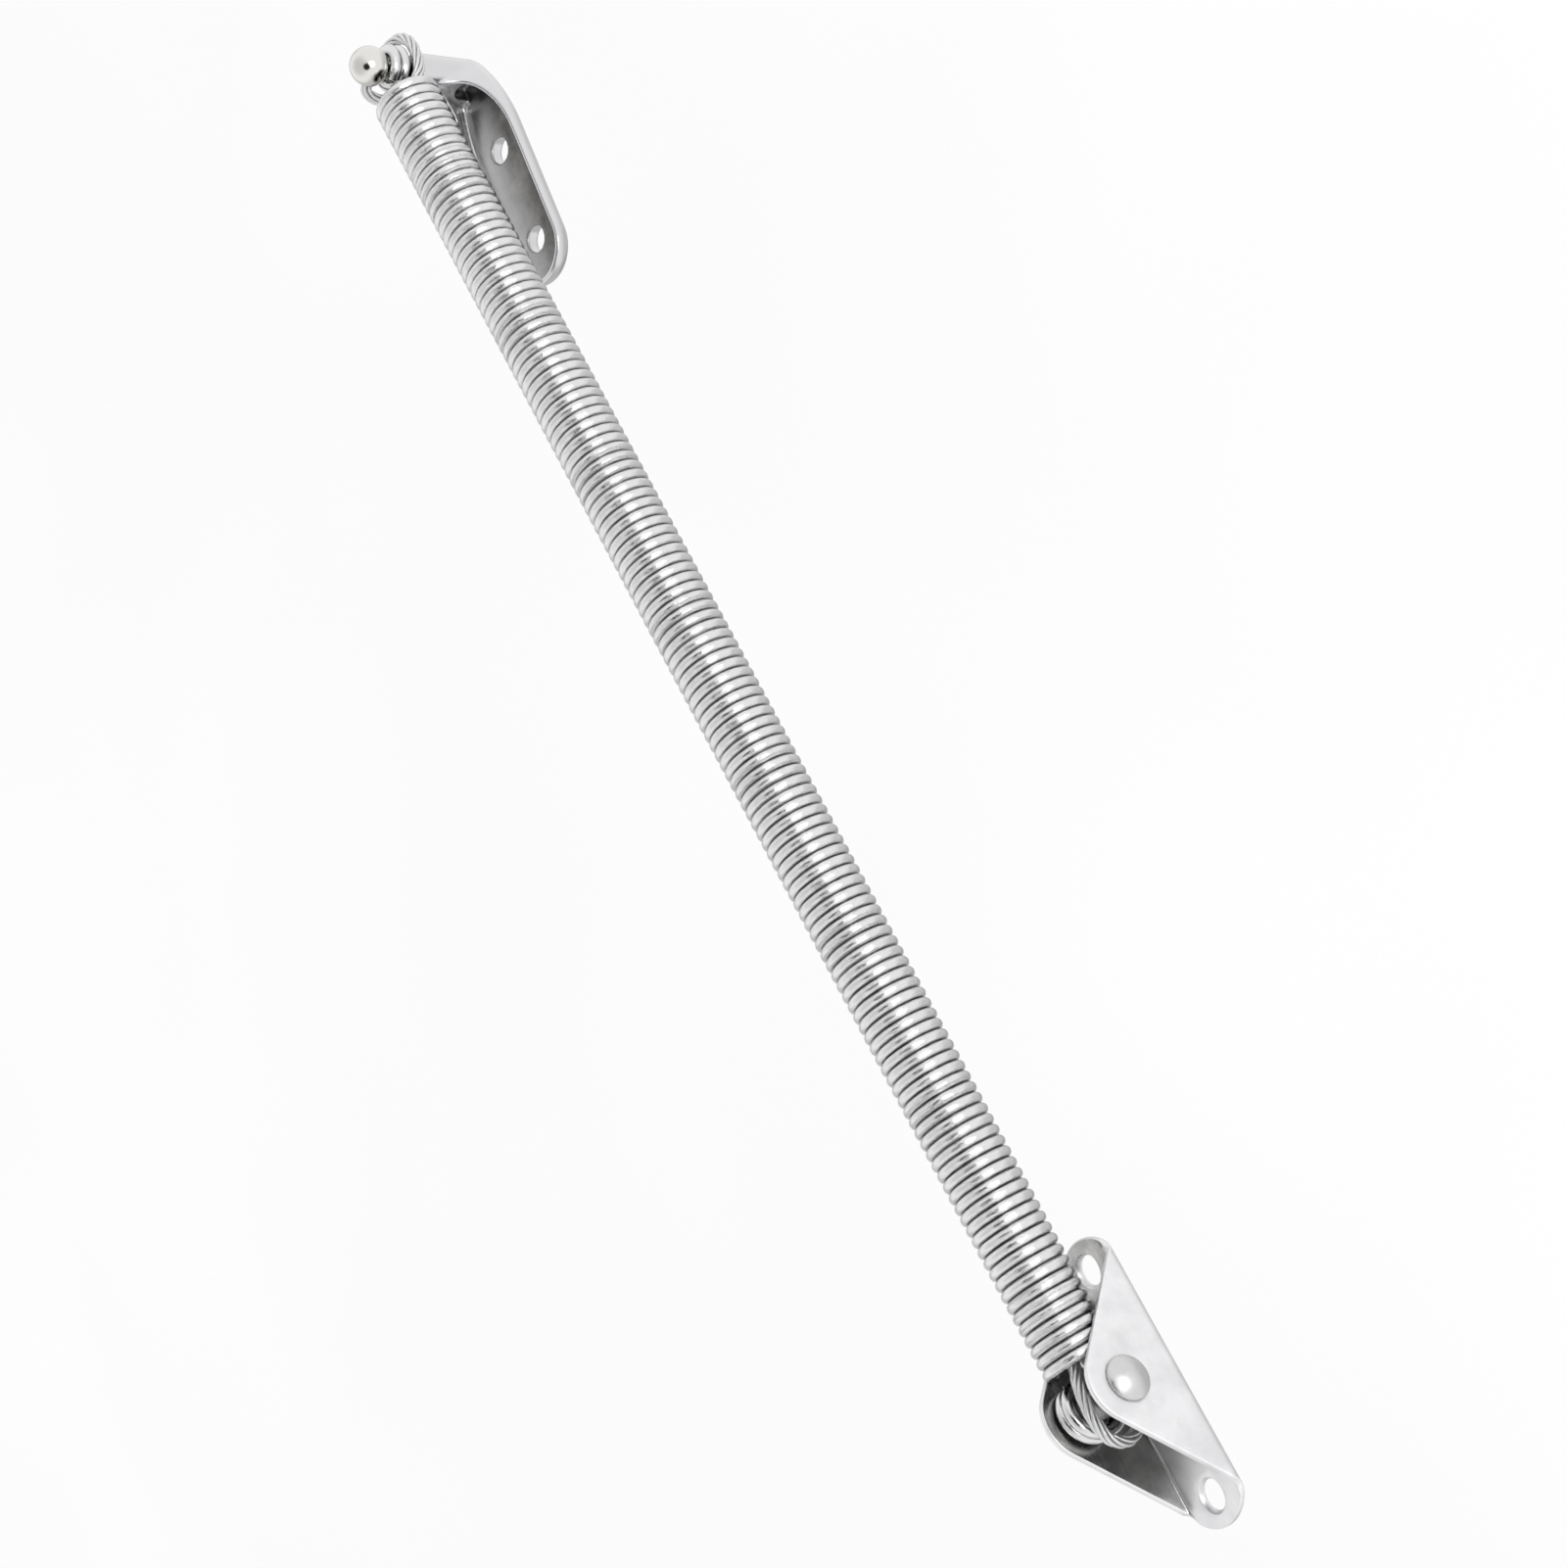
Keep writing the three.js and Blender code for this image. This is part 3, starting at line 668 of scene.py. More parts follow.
def lower_eye():
    turns, x, z = wound(-90, LOWER_EYE_R)
    ring = RIVET(*np.stack([x, LOWER_EYE_Y + turns * EYE_PITCH, z], axis=1))
    tail = SPRING(
        (LOW_END - 2.4, 1.35, -3.2),
        (LOW_END, 1.6, -1.95),
        (LOW_END + 3, TAIL_Y, TAIL_Z),
        (LOW_END + 10, TAIL_Y, TAIL_Z),
        (LOW_END + ANCHOR_START - 2, TAIL_Y, TAIL_Z),
    )
    points = np.concatenate([ring, tail, anchor(LOW_END + ANCHOR_START, 1)])
    eye("lower_eye_wire", "lower_eye", "spring_1", points)


def upper_eye():
    turns, x, y = wound(90, UPPER_EYE_R)
    ring = STUD(*np.stack([x, y, UPPER_EYE_Z + turns * EYE_PITCH], axis=1))
    tail = SPRING(
        (HIGH_END - 0.6, 1.9, -1.3),
        (HIGH_END - 3.5, TAIL_Y, TAIL_Z),
        (HIGH_END - 10, TAIL_Y, TAIL_Z),
        (HIGH_END - ANCHOR_START + 2, TAIL_Y, TAIL_Z),
    )
    corner = STUD((-2.2, 2.6, -0.62))
    points = np.concatenate([ring, corner, tail, anchor(HIGH_END - ANCHOR_START, -1)])
    eye("upper_eye_wire", "upper_eye", "upper_end", points)


def ferrule(name, node, body, end, step):
    """A crimp sleeve with rounded ends and crimp dents."""
    low = min(end + step * FERRULE_START, end + step * (FERRULE_START + FERRULE_LENGTH))
    clearance = 0.05
    inner = ROPE / 2 + clearance
    outer = inner + FERRULE_WALL
    sides = 56
    angle = np.linspace(0, 2 * math.pi, sides, endpoint=False)
    stations = np.linspace(0, FERRULE_LENGTH, 40)
    edge_length, edge_drop, dent_depth, half_waves = 0.3, 0.2, 0.12, 6
    edge = np.clip(np.minimum(stations, FERRULE_LENGTH - stations) / edge_length, 0, 1)
    dent = dent_depth * np.clip(np.cos(stations / FERRULE_LENGTH * half_waves * math.pi), 0, 1)
    radii = outer - edge_drop * (1 - np.sqrt(1 - (1 - edge) ** 2)) - dent
    rings = [(x, r) for x, r in zip(stations, radii)]
    rings += [(FERRULE_LENGTH, inner), (0, inner)]
    points = []
    for x, r in rings:
        z = r * np.cos(angle) + np.sign(np.cos(angle)) * LEG_OFFSET
        points += [(low + x, FERRULE_Y + r * s, h) for s, h in zip(np.sin(angle), z)]
    faces = ring_faces(0, len(rings), sides)
    last = (len(rings) - 1) * sides
    for j in range(sides):
        k = (j + 1) % sides
        faces.append((last + j, last + k, k, j))
    faces = [face[::-1] for face in faces]
    sleeve = make_object(name, SPRING(*points), faces, FERRULE_STEEL)
    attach(sleeve, body)
    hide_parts(node)


# ---- clevis ----
FLAT_HALF = CLEVIS_WIDTH / 2 - FOLD_R
FOLD_END = FLAT_HALF + FOLD_R * math.pi / 2
RIVET_Z = RIVET.origin[2]


def folded(flat, depth):
    """Flat pattern (x, v) at a depth below the outer skin, as points of the folded clevis."""
    flat = np.asarray(flat, float)
    x, v = flat[:, 0], flat[:, 1]
    side, v = np.sign(v), np.abs(v)
    angle = np.clip((v - FLAT_HALF) / FOLD_R, 0, math.pi / 2)
    r = FOLD_R - depth
    y = np.where(v < FLAT_HALF, v, FLAT_HALF + r * np.sin(angle))
    z = np.where(v < FLAT_HALF, depth, FOLD_R - r * np.cos(angle) + np.maximum(v - FOLD_END, 0))
    return np.stack([x, side * y, z], axis=1)


def ear_v(z):
    """How far out on the flat pattern a height on an ear lies."""
    return FOLD_END + z - FOLD_R


def clevis_outline():
    """The flat pattern's outline, counter-clockwise."""
    half = CLEVIS_WIDTH / 2
    rise = CLEVIS_HALF_LENGTH - EAR_HALF_LENGTH
    r = (half**2 + rise**2) / (2 * rise)
    spread = math.degrees(math.asin(half / r))
    tip = []
    for x, y in arc((CLEVIS_HALF_LENGTH - r, 0), r, 0, spread, 26):
        over = min(max(y - FLAT_HALF, 0) / FOLD_R, 1)
        tip.append((x, min(y, FLAT_HALF) + FOLD_R * math.asin(over)))
    foot = EAR_HALF_LENGTH
    drop = RIVET_Z - FOLD_R
    touch = math.acos(EAR_APEX_R / math.hypot(foot, drop)) - math.atan2(drop, foot)
    top = arc((0, RIVET_Z), EAR_APEX_R, math.degrees(touch), 90, 14)
    slope = [(foot + (top[0][0] - foot) * t, FOLD_R + (top[0][1] - FOLD_R) * t)
             for t in np.linspace(0, 1, 24, endpoint=False)]
    quarter = tip[:-1] + [(x, ear_v(z)) for x, z in slope + top]
    left = [(-x, v) for x, v in quarter[-2::-1]]
    upper = quarter + left
    return np.array(upper + [(x, -v) for x, v in upper[-2:0:-1]])


def inset(loop, distance):
    """A loop moved to its left by a distance."""
    edge = unit(np.roll(loop, -1, axis=0) - np.roll(loop, 1, axis=0))
    return loop + distance * np.stack([-edge[:, 1], edge[:, 0]], axis=1)


def inside(points, loop):
    """Which points lie inside a closed loop."""
    x, y = points[:, 0, None], points[:, 1, None]
    x0, y0 = loop.T
    x1, y1 = np.roll(loop, -1, axis=0).T
    crosses = (y0 > y) != (y1 > y)
    at = x0 + (y - y0) * (x1 - x0) / np.where(y1 == y0, 1e-9, y1 - y0)
    return np.sum(crosses & (x < at), axis=1) % 2 == 1


def filled(outer, holes, seeds):
    """Triangles over the area inside outer and outside the holes, with seeds as inner points."""
    loops = [outer] + holes
    points = np.concatenate(loops + [seeds])
    edges, start = [], 0
    for loop in loops:
        edges += [(start + i, start + (i + 1) % len(loop)) for i in range(len(loop))]
        start += len(loop)
    made = delaunay_2d_cdt([Vector(p) for p in points], edges, [], 0, 1e-6)
    origin = [source[0] for source in made[3]]
    triangles = np.array([[origin[i] for i in face] for face in made[2]])
    middles = points[triangles].mean(axis=1)
    keep = inside(middles, outer)
    for hole in holes:
        keep &= ~inside(middles, hole)
    return points, triangles[keep]


def round_edge(radius, count=4):
    """(inset, depth) pairs round an edge of the sheet, from its outer to its inner skin."""
    low = [(radius - math.sin(a) * radius, radius - math.cos(a) * radius)
           for a in np.linspace(0, math.pi / 2, count + 1)]
    high = [(i, SHEET - d) for i, d in low[::-1]]
    return low + high


def sheet_loops(outline, screws, bores):
    """Each loop of the flat pattern with its edge, as (inset, depth) pairs from the outer skin."""
    angles = np.linspace(0, 2 * math.pi, 64, endpoint=False)[::-1]
    circle = np.stack([np.cos(angles), np.sin(angles)], axis=1)
    mouth = SCREW_MOUTH_R - SCREW_HOLE_R
    screw_edge = [(0.1, 0), (0.03, 0.03), (0, 0.1), (0, 0.35), (mouth * 0.9, SHEET - 0.1),
                  (mouth, SHEET - 0.04), (mouth + 0.06, SHEET)]
    loops = [(outline, round_edge(SHEET_EDGE_R))]
    loops += [(circle * SCREW_HOLE_R + centre, screw_edge) for centre in screws]
    loops += [(circle * (RIVET_R + 0.1) + centre, round_edge(0.08, 2)) for centre in bores]
    return loops


def sheet_seeds(outline, centres):
    """Inner points for the flat pattern, closer together round the folds."""
    margin = 0.5
    x_lines = np.arange(-19.9, 20, 0.95)
    v_lines = np.concatenate([np.arange(-FLAT_HALF + 0.5, FLAT_HALF, 0.9)]
                             + [side * np.linspace(FLAT_HALF, FOLD_END, 11) for side in (-1, 1)]
                             + [side * np.arange(FOLD_END + 0.6, 20, 0.9) for side in (-1, 1)])
    seeds = np.stack(np.meshgrid(x_lines, v_lines), axis=-1).reshape(-1, 2)
    seeds = seeds[inside(seeds, inset(outline, margin))]
    for centre in centres:
        seeds = seeds[np.linalg.norm(seeds - centre, axis=1) > SCREW_MOUTH_R + margin]
    return seeds


def painted_shade_on_skin(flat):
    """How much painted shade the sheet's inner skin gets: full on the ears, and on the base under the
    spring.
    """
    on_ear = np.clip((np.abs(flat[:, 1]) - FLAT_HALF) / FOLD_R, 0, 1)
    under_spring = np.clip((flat[:, 0] - 6) / 4, 0, 1)
    return np.maximum(on_ear, under_spring)


def clevis():
    """The folded sheet: two skins filled over the flat pattern, and the edges between them."""
    outline = clevis_outline()
    screws = [(x, 0.0) for x in (-SCREW_HOLE_X, SCREW_HOLE_X)]
    bores = [(0.0, side * ear_v(RIVET_Z)) for side in (-1, 1)]
    loops = sheet_loops(outline, screws, bores)
    seeds = sheet_seeds(outline, screws + bores)
    points, faces, shades, skins = [], [], [], []
    count = 0
    for end in (0, -1):
        edges = [inset(loop, edge[end][0]) for loop, edge in loops]
        flat, triangles = filled(edges[0], edges[1:], seeds)
        points.append(folded(flat, loops[0][1][end][1]))
        shades.append(-end * painted_shade_on_skin(flat))
        turn = 1 if end else -1
        faces += [tuple(int(i) + count for i in t[::turn]) for t in triangles]
        skins.append(count)
        count += len(flat)
    offset = 0
    for loop, edge in loops:
        size = len(loop)
        rings = [skins[0] + offset]
        for distance, depth in edge[1:-1]:
            points.append(folded(inset(loop, distance), depth))
            shades.append(np.zeros(size))
            rings.append(count)
            count += size
        rings.append(skins[1] + offset)
        for a, b in zip(rings, rings[1:]):
            for i in range(size):
                j = (i + 1) % size
                faces.append((a + i, a + j, b + j, b + i))
        offset += size
    bracket = make_object("clevis_sheet", np.concatenate(points), faces, SHEET_STEEL)
    store_painted_shade(bracket, np.concatenate(shades))
    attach(bracket, "clevis")
    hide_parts("clevis_bracket")


def rivet():
    """A shank between two domed heads, each with a small undercut at its edge."""
    face = CLEVIS_WIDTH / 2 + 0.02
    rim = 0.4
    rise = RIVET_HEAD_HEIGHT - rim
    r = (RIVET_HEAD_R**2 + rise**2) / (2 * rise)
    centre = face + RIVET_HEAD_HEIGHT - r
    spread = math.degrees(math.asin((RIVET_HEAD_R - 0.12) / r))
    dome = [(x, y) for x, y in arc((0, centre), r, 90 - spread, 90, 22)][:-1]
    head = [(RIVET_R, face), (RIVET_HEAD_R - 0.15, face), (RIVET_HEAD_R - 0.03, face + 0.06),
            (RIVET_HEAD_R, face + 0.18), (RIVET_HEAD_R - 0.02, face + rim - 0.06)] + dome
    tip = (0, face + RIVET_HEAD_HEIGHT)
    profile = [(x, -y) for x, y in [tip] + head[::-1]] + head + [tip]
    piece = turned("rivet", profile, RIVET, 1, RIVET_STEEL)
    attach(piece, "clevis")
    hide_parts("clevis_rivet")


# ---- stud bracket ----
CELL_CORNERS = [(i, j, k) for i in (0, 1) for j in (0, 1) for k in (0, 1)]


# A field is a signed distance, below zero inside the metal or inside the space it stands for.
def polygon_distance(x, y, loop):
    """Signed distance to a closed outline, below zero inside it."""
    best = np.full(x.shape, 1e9)
    odd = np.zeros(x.shape, bool)
    for (ax, ay), (bx, by) in zip(loop, np.roll(loop, -1, axis=0)):
        ex, ey = bx - ax, by - ay
        t = np.clip(((x - ax) * ex + (y - ay) * ey) / max(ex * ex + ey * ey, 1e-12), 0, 1)
        best = np.minimum(best, np.hypot(x - ax - t * ex, y - ay - t * ey))
        if ay != by:
            odd ^= ((ay > y) != (by > y)) & (x < ax + (y - ay) * ex / ey)
    return np.where(odd, -best, best)


def both(a, b, r):
    """The overlap of two fields, with its edge rounded to r."""
    rounded = np.hypot(np.maximum(r + a, 0), np.maximum(r + b, 0)) - r
    return np.where((a > -r) & (b > -r), rounded, np.maximum(a, b))


def either(a, b, r):
    """The two fields as one, with their inner corner rounded to r."""
    return -both(-a, -b, r)


def bezier(p0, p1, p2, p3, count=12):
    """Points on a Bezier curve, without its first."""
    t = np.linspace(0, 1, count + 1)[1:, None]
    p0, p1, p2, p3 = map(np.array, (p0, p1, p2, p3))
    made = (1 - t) ** 3 * p0 + 3 * t * (1 - t) ** 2 * p1 + 3 * t**2 * (1 - t) * p2 + t**3 * p3
    return [tuple(p) for p in made]


def dish_plan(cut):
    """The bracket from the ball's side, a distance inside its outline."""
    half = DISH_HALF_WIDTH - cut
    arm = ARM_R - cut
    end = DISH_END_X + DISH_HALF_WIDTH
    leave = math.radians(ARM_LEAVE)
    on_arm = (arm * math.cos(leave), -arm * math.sin(leave))
    before = (on_arm[0] - 3.2 * math.sin(leave), on_arm[1] - 3.2 * math.cos(leave))
    lower = bezier((DISH_SHOULDER_X, -half), (DISH_SHOULDER_X * 0.54, -half), before, on_arm)
    side = [(DISH_SHOULDER_X, -half)] + lower + arc((0, 0), arm, -ARM_LEAVE, 0, 10)[1:]
    return np.array(arc((end, 0), half, 180, 270, 20) + side
                    + [(x, -y) for x, y in side[-2::-1]]
                    + arc((end, 0), half, 90, 180, 20)[:-1])


def dish_side():
    """The bracket along its width."""
    bend_x = ARM_R - ARM_BEND_R
    rim = DISH_BACK_Z + DISH_RIM
    side = [(DISH_END_X - 1, DISH_BACK_Z)]
    side += arc((bend_x, DISH_BACK_Z + ARM_BEND_R), ARM_BEND_R, -90, 0, 24)
    side += [(ARM_R, 0), (-ARM_R, 0), (-ARM_R, SHOULDER_Z - 4)]
    side += bezier(side[-1], (-ARM_R, rim + 2.3), (-4.3, rim + 1.6), (-8, rim + 0.7))
    side += bezier(side[-1], (-10.2, rim + 0.25), (-12.6, rim), (-15.5, rim))
    return np.array(side + [(DISH_END_X - 1, rim)])


def hollow_side():
    """The open part of the dish along its width; its end stands below the arm."""
    floor = DISH_BACK_Z + DISH_FLOOR
    side = [(DISH_END_X - 1, floor), (-ARM_R - 1, floor)]
    side += bezier(side[-1], (-ARM_R - 0.3, floor), (-ARM_R, floor + 0.3), (-ARM_R, floor + 1), 8)
    return np.array(side + [(-ARM_R, -SHOULDER_Z), (DISH_END_X - 1, -SHOULDER_Z)])


def pocket(x, y, z):
    """Below zero in the arched pocket that runs on from the dish into the foot of the arm."""
    arch = np.hypot(y, np.maximum(z - POCKET_TOP_Z + POCKET_R, 0)) - POCKET_R
    above = both(arch, DISH_BACK_Z + DISH_FLOOR - z, 0.4)
    return both(above, np.abs(x + ARM_R) - POCKET_DEPTH, 0.6)


def lean(z):
    """How far the dish's walls lean in at a height, as they climb the arm."""
    return WEB_LEAN * np.maximum(z - DISH_BACK_Z - DISH_RIM, 0)


def hollow(x, y, z):
    """Below zero in the dish's open space."""
    inner = polygon_distance(x, y, dish_plan(DISH_WALL)) + lean(z)
    dish = both(inner, polygon_distance(x, z, hollow_side()), 0.7)
    return either(dish, pocket(x, y, z), 0.15)


def bracket_field(x, y, z):
    """Below zero inside the stud bracket's metal, in the stud's frame."""
    plan = polygon_distance(x, y, dish_plan(0)) + lean(z)
    plan = either(plan, np.hypot(x, y) - ARM_R, 0.5)
    body = both(both(plan, DISH_BACK_Z - z, DISH_EDGE_R), polygon_distance(x, z, dish_side()), 0.35)
    body = both(body, -hollow(x, y, z), 0.25)
    body = both(body, z - SHOULDER_Z, 0.4)
    bore = both(np.hypot(x, y) - NECK_R - 0.1, PIN_END_Z - 0.1 - z, 0.05)
    body = both(body, -bore, 0.08)
    for hole_x in DISH_HOLES_X:
        hole = np.hypot(x - hole_x, y) - DISH_HOLE_R
        body = both(body, -hole, 0.18)
    return body


def corner(array, c):
    """A grid array's values at one corner of every cell."""
    return array[tuple(slice(o, array.shape[a] - 1 + o) for a, o in enumerate(c))]


def cell_spots(grid, value, cells):
    """For each of these cells, the mean of the places where the surface crosses its edges."""
    spots = np.zeros((cells.sum(), 3))
    crossings = np.zeros(cells.sum())
    for a in CELL_CORNERS:
        for axis in range(3):
            if a[axis]:
                continue
            b = tuple(1 if k == axis else o for k, o in enumerate(a))
            va, vb = corner(value, a)[cells], corner(value, b)[cells]
            pa, pb = corner(grid, a)[cells], corner(grid, b)[cells]
            hit = (va < 0) != (vb < 0)
            t = np.where(hit, va / np.where(hit, va - vb, 1), 0)
            spots += np.where(hit[:, None], pa + (pb - pa) * t[:, None], 0)
            crossings += hit
    return spots / crossings[:, None]


def net_quads(sign, index):
    """A quad round each grid edge that the surface crosses, facing out of the metal."""
    quads = []
    for axis in range(3):
        u, v = (axis + 1) % 3, (axis + 2) % 3
        here = [slice(1, -1)] * 3
        here[axis] = slice(0, -1)
        there = list(here)
        there[axis] = slice(1, None)
        a, b = sign[tuple(here)], sign[tuple(there)]
        for wanted, order in ((a & ~b, 1), (~a & b, -1)):
            at = np.argwhere(wanted)
            at[:, [u, v]] += 1
            ring = []
            for du, dv in ((1, 1), (0, 1), (0, 0), (1, 0)):
                cell = at.copy()
                cell[:, u] -= du
                cell[:, v] -= dv
                ring.append(index[tuple(cell.T)])
            quads.append(np.stack(ring, axis=1)[:, ::order])
    return [tuple(int(i) for i in quad) for quad in np.concatenate(quads)]


def settled(field, spots, longest):
    """The points moved onto the surface by a few Newton steps, none over the longest."""
    nudge = 0.01
    for _ in range(4):
        here = field(*spots.T)
        slope = np.stack([field(*(spots + d).T) - here for d in np.eye(3) * nudge], axis=1) / nudge
        steepness = np.maximum((slope**2).sum(axis=1), 0.25)
        move = slope * (here / steepness)[:, None]
        length = np.linalg.norm(move, axis=1, keepdims=True)
        spots = spots - move * np.minimum(1, longest / np.maximum(length, 1e-9))
    return spots


def level_surface(field, low, high, step):
    """Points and quads of the surface where a field is zero, by surface nets on a grid."""
    axes = [np.arange(a, b + step, step) for a, b in zip(low, high)]
    grid = np.stack(np.meshgrid(*axes, indexing="ij"), axis=-1)
    value = field(grid[..., 0], grid[..., 1], grid[..., 2])
    sign = value < 0
    total = sum(corner(sign, c).astype(int) for c in CELL_CORNERS)
    cells = (total > 0) & (total < len(CELL_CORNERS))
    index = np.full(cells.shape, -1)
    index[cells] = np.arange(cells.sum())
    return settled(field, cell_spots(grid, value, cells), 0.3 * step), net_quads(sign, index)


def dish_shade(x, y, z):
    """How much painted shade the casting gets: in the dish, more so towards its far wall, and in the
    pocket.
    """
    within_walls = -polygon_distance(x, y, dish_plan(DISH_WALL + 0.1))
    below_rim = DISH_BACK_Z + DISH_RIM - 0.5 - z
    above_floor = z - DISH_BACK_Z - DISH_FLOOR + 0.4
    fade = 0.3
    in_dish = np.clip(np.minimum(np.minimum(within_walls, below_rim), above_floor) / fade, 0, 1)
    far = np.clip(0.5 - y / DISH_HALF_WIDTH, 0, 1)
    in_pocket = np.clip(0.1 - pocket(x, y, z), 0, 0.1) * 6
    return np.maximum(in_dish * (0.5 + 0.5 * far), in_pocket)


def stud_bracket():
    low = (DISH_END_X - 1, -DISH_HALF_WIDTH - 1, DISH_BACK_Z - 1)
    high = (ARM_R + 1, DISH_HALF_WIDTH + 1, SHOULDER_Z + 1)
    spots, quads = level_surface(bracket_field, low, high, DISH_STEP)
    bracket = make_object("stud_bracket_cast", STUD(*spots), quads, CAST_STEEL)
    store_painted_shade(bracket, dish_shade(*spots.T))
    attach(bracket, "stud")
    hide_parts("stud_bracket")


def ball_stud():
    neck = math.degrees(math.asin(NECK_R / BALL_R))
    ball = arc((0, BALL_Z), BALL_R, -90 + neck, 90, 44)[:-1]
    pin = [(0, PIN_END_Z), (NECK_R - 0.3, PIN_END_Z), (NECK_R, PIN_END_Z + 0.3)]
    profile = pin + ball + [(0, BALL_Z + BALL_R)]
    piece = turned("stud_with_ball", profile, STUD, 2, BALL_STEEL, 96)
    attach(piece, "stud")
    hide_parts("ball_stud")


# ---- stage, light and camera ----
SPRING_MIDDLE = (110, -10, 12)
CAMERA_AT = (-57.242, -279.318, 231.824)
CAMERA_RIGHT = (-0.43935, -0.40437, -0.80215)
CAMERA_FORWARD = (0.39456, 0.71534, -0.57672)
LENS = 63.14
FLOOR_DROP = 235  # room for the stay to hang below its clevis at the end of its swing


def floor(height):
    """A wide sheet with its edges curled up out of sight."""
    spread = 2400
    flat_part = 1800
    lines = 33
    steps = np.linspace(-spread, spread, lines)
    grid = np.stack(np.meshgrid(steps, steps, indexing="ij"), axis=-1).reshape(-1, 2)
    out = np.maximum(np.abs(grid).max(axis=1) - flat_part, 0)
    points = np.column_stack([grid, height + out**2 / 900])
    faces = ring_faces(0, lines, lines, closed=False)
    nodes = Nodes("floor")
    where = nodes.add("ShaderNodeTexCoord").outputs["Object"]
    shade = nodes.spread(nodes.noise(where, 3, 2), 0.39, 0.41)
    colour = nodes.add("ShaderNodeCombineColor", {0: shade, 1: shade, 2: shade})
    nodes.put(nodes.bsdf.inputs["Emission Color"], (1, 1, 1, 1))
    nodes.finish(Base_Color=colour.outputs[0], Metallic=0.0, Roughness=0.8, Emission_Strength=0.55)
    sheet = make_object("floor", points, faces, nodes.material)
    sheet.visible_glossy = False


def soft_black(radius):
    """Black in the middle, fading to clear at a radius."""
    nodes = Nodes("black_card")
    where = nodes.add("ShaderNodeTexCoord").outputs["Object"]
    out = nodes.add("ShaderNodeVectorMath", {0: where}, operation="LENGTH").outputs["Value"]
    black_part = 0.55
    clear = nodes.spread(out, 0, 1, radius * MM * black_part, radius * MM)
    nodes.finish(Base_Color=(0.01, 0.01, 0.01, 1), Metallic=0.0, Roughness=1.0)
    see_through = nodes.add("ShaderNodeBsdfTransparent").outputs["BSDF"]
    mixed = nodes.add("ShaderNodeMixShader", {0: clear, 1: nodes.bsdf.outputs["BSDF"], 2: see_through})
    surface = nodes.tree.nodes["Material Output"].inputs["Surface"]
    nodes.put(surface, mixed.outputs["Shader"])
    return nodes.material


def dark_card(name, at, target, radius):
    """A soft-edged black disc that only reflections see: it gives the steel its dark streaks."""
    sides = 48
    ring = [(0, 0, 0)] + [(x, y, 0) for x, y in arc((0, 0), radius, 0, 360, sides)[:-1]]
    faces = [(0, 1 + j, 1 + (j + 1) % sides) for j in range(sides)]
    card = make_object(name, ring, faces, soft_black(radius))
    card.location = Vector(at) * MM
    card.rotation_euler = (Vector(target) - Vector(at)).to_track_quat("Z", "Y").to_euler()
    card.visible_camera = False
    card.visible_diffuse = False
    card.visible_shadow = False


def area_light(name, at, target, size, power):
    light = bpy.data.lights.new(name, "AREA")
    light.shape = "DISK"
    light.size = size * MM
    light.energy = power
    thing = bpy.data.objects.new(name, light)
    thing.location = Vector(at) * MM
    thing.rotation_euler = (Vector(target) - Vector(at)).to_track_quat("-Z", "Y").to_euler()
    bpy.context.scene.collection.objects.link(thing)


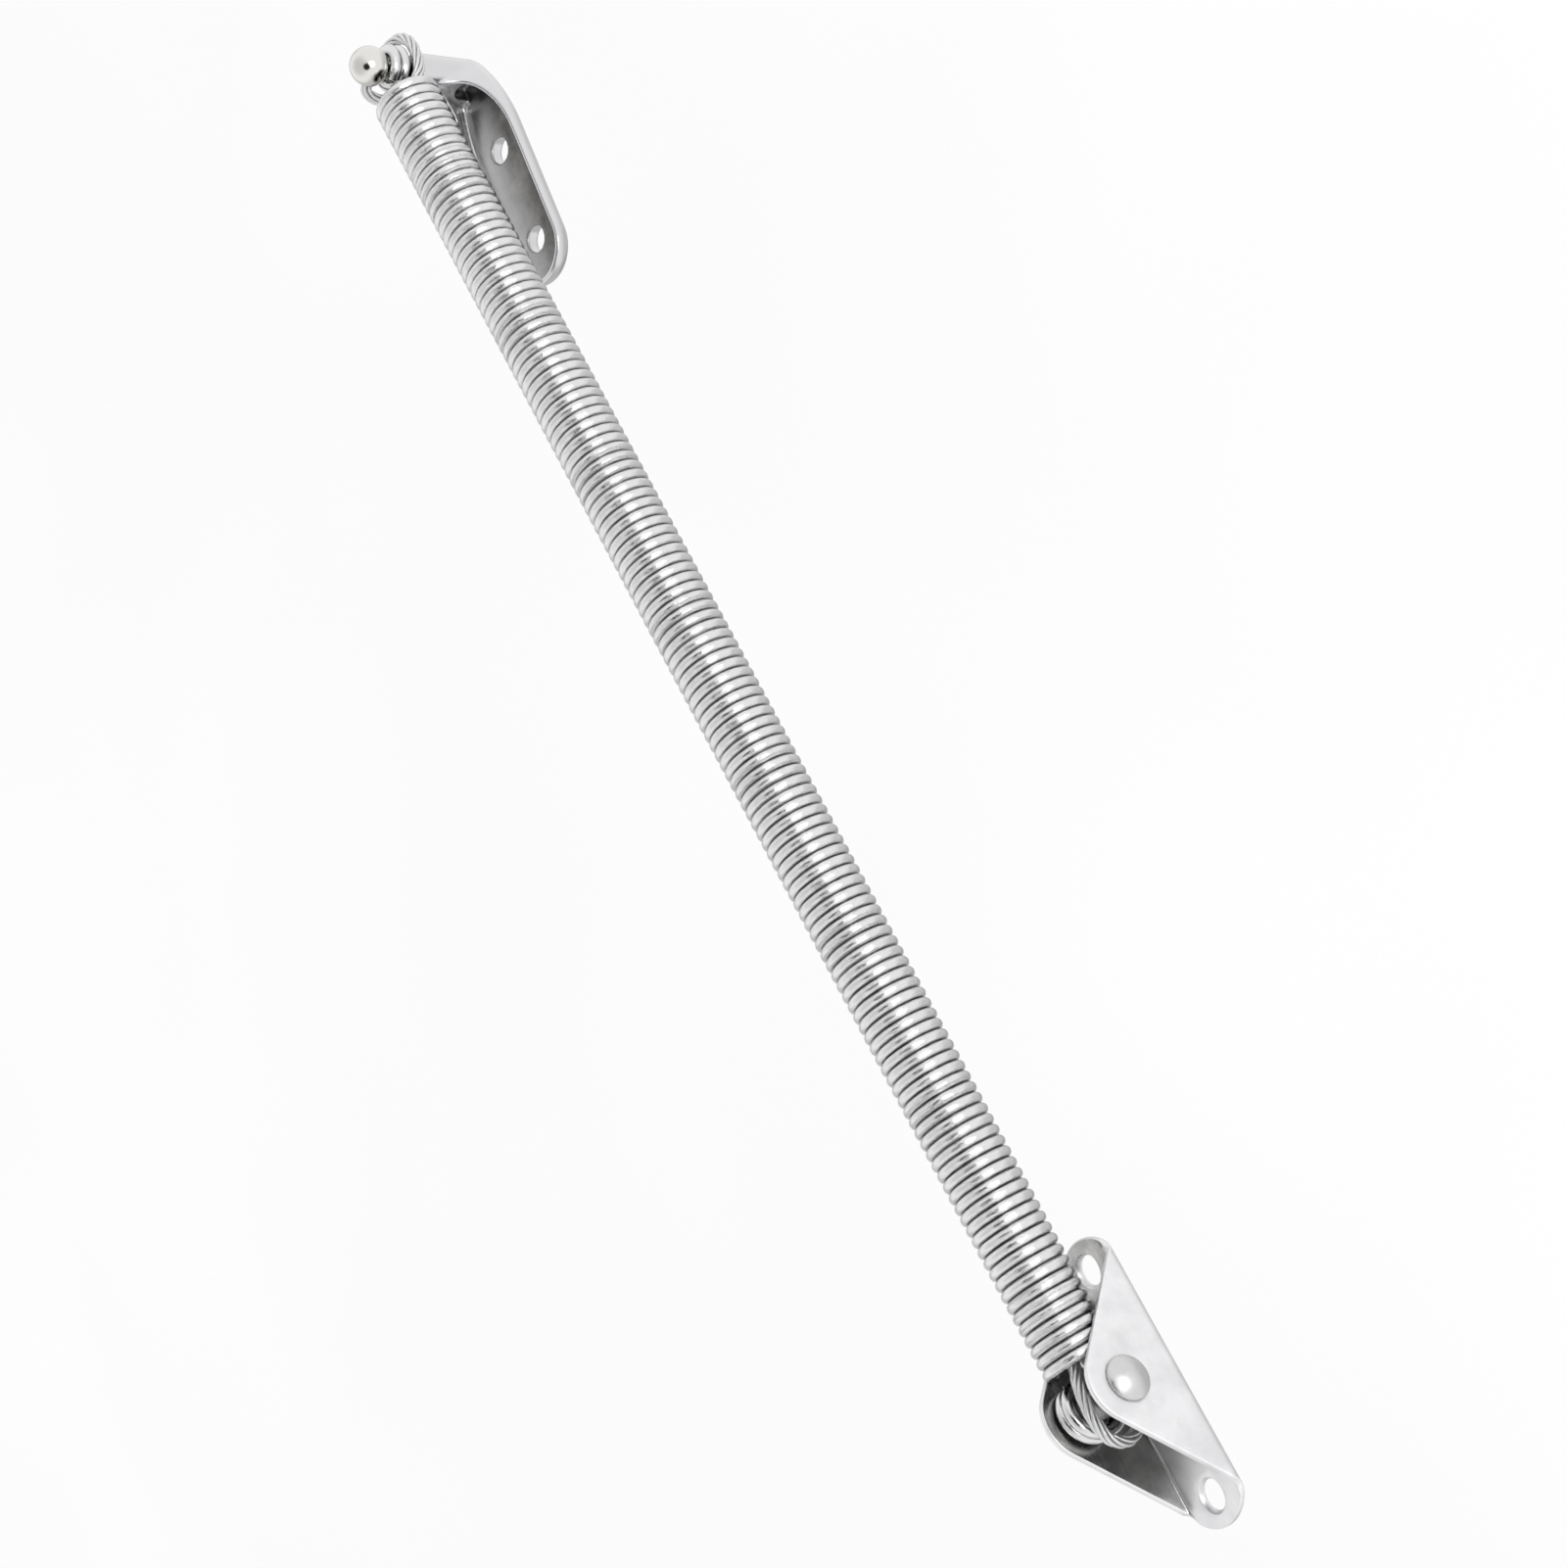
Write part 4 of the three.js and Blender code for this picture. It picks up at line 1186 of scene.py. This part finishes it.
def world():
    """Soft white all round, dimmer overhead, straight below and low down behind the stay."""
    made = bpy.data.worlds.new("studio")
    bpy.context.scene.world = made
    made.use_nodes = True
    tree = made.node_tree
    background = tree.nodes["Background"]
    background.inputs["Color"].default_value = (1, 1, 1, 1)
    coords = tree.nodes.new("ShaderNodeTexCoord")
    ways = tree.nodes.new("ShaderNodeSeparateXYZ")
    tree.links.new(coords.outputs["Generated"], ways.inputs[0])

    def step(way, start, end, low, high):
        """A smooth change of level along one direction."""
        node = tree.nodes.new("ShaderNodeMapRange")
        node.interpolation_type = "SMOOTHSTEP"
        tree.links.new(ways.outputs[way], node.inputs["Value"])
        for name, value in zip(("From Min", "From Max", "To Min", "To Max"), (start, end, low, high)):
            node.inputs[name].default_value = value
        return node.outputs["Result"]

    def combine(operation, a, b):
        node = tree.nodes.new("ShaderNodeMath")
        node.operation = operation
        tree.links.new(a, node.inputs[0])
        tree.links.new(b, node.inputs[1])
        return node.outputs["Value"]

    overall = combine("MULTIPLY", step("Z", -0.95, -0.62, 0.75, 1.15), step("Z", 0.45, 1, 1, 0.7))
    behind = combine("MAXIMUM", step("Z", -0.15, 0.3, 0.6, 1), step("Y", 0, 0.5, 1, 0.6))
    tree.links.new(combine("MULTIPLY", overall, behind), background.inputs["Strength"])


def camera():
    right, forward = Vector(CAMERA_RIGHT).normalized(), Vector(CAMERA_FORWARD).normalized()
    up = right.cross(forward)
    lens = bpy.data.cameras.new("camera")
    lens.lens = LENS
    lens.sensor_width = 36
    lens.clip_start = 0.01
    thing = bpy.data.objects.new("camera", lens)
    thing.matrix_world = Matrix.Translation(Vector(CAMERA_AT) * MM) @ Matrix((
        (right.x, up.x, -forward.x, 0),
        (right.y, up.y, -forward.y, 0),
        (right.z, up.z, -forward.z, 0),
        (0, 0, 0, 1),
    ))
    bpy.context.scene.collection.objects.link(thing)
    bpy.context.scene.camera = thing


spring_coils()
rope_in_bore()
lower_rope_loop()
upper_rope_loop()
lower_eye()
upper_eye()
ferrule("lower_sleeve", "lower_ferrule", "spring_1", LOW_END, 1)
ferrule("upper_sleeve", "upper_ferrule", "upper_end", HIGH_END, -1)
clevis()
rivet()
stud_bracket()
ball_stud()

floor(cad_box[0].z / MM - FLOOR_DROP)
dark_card("card_at_camera", (-10, -195, 290), SPRING_MIDDLE, 180)
area_light("front", (-54, -410, 137), SPRING_MIDDLE, 300, 0.6)
world()
camera()
bpy.context.scene.view_settings.view_transform = "Standard"
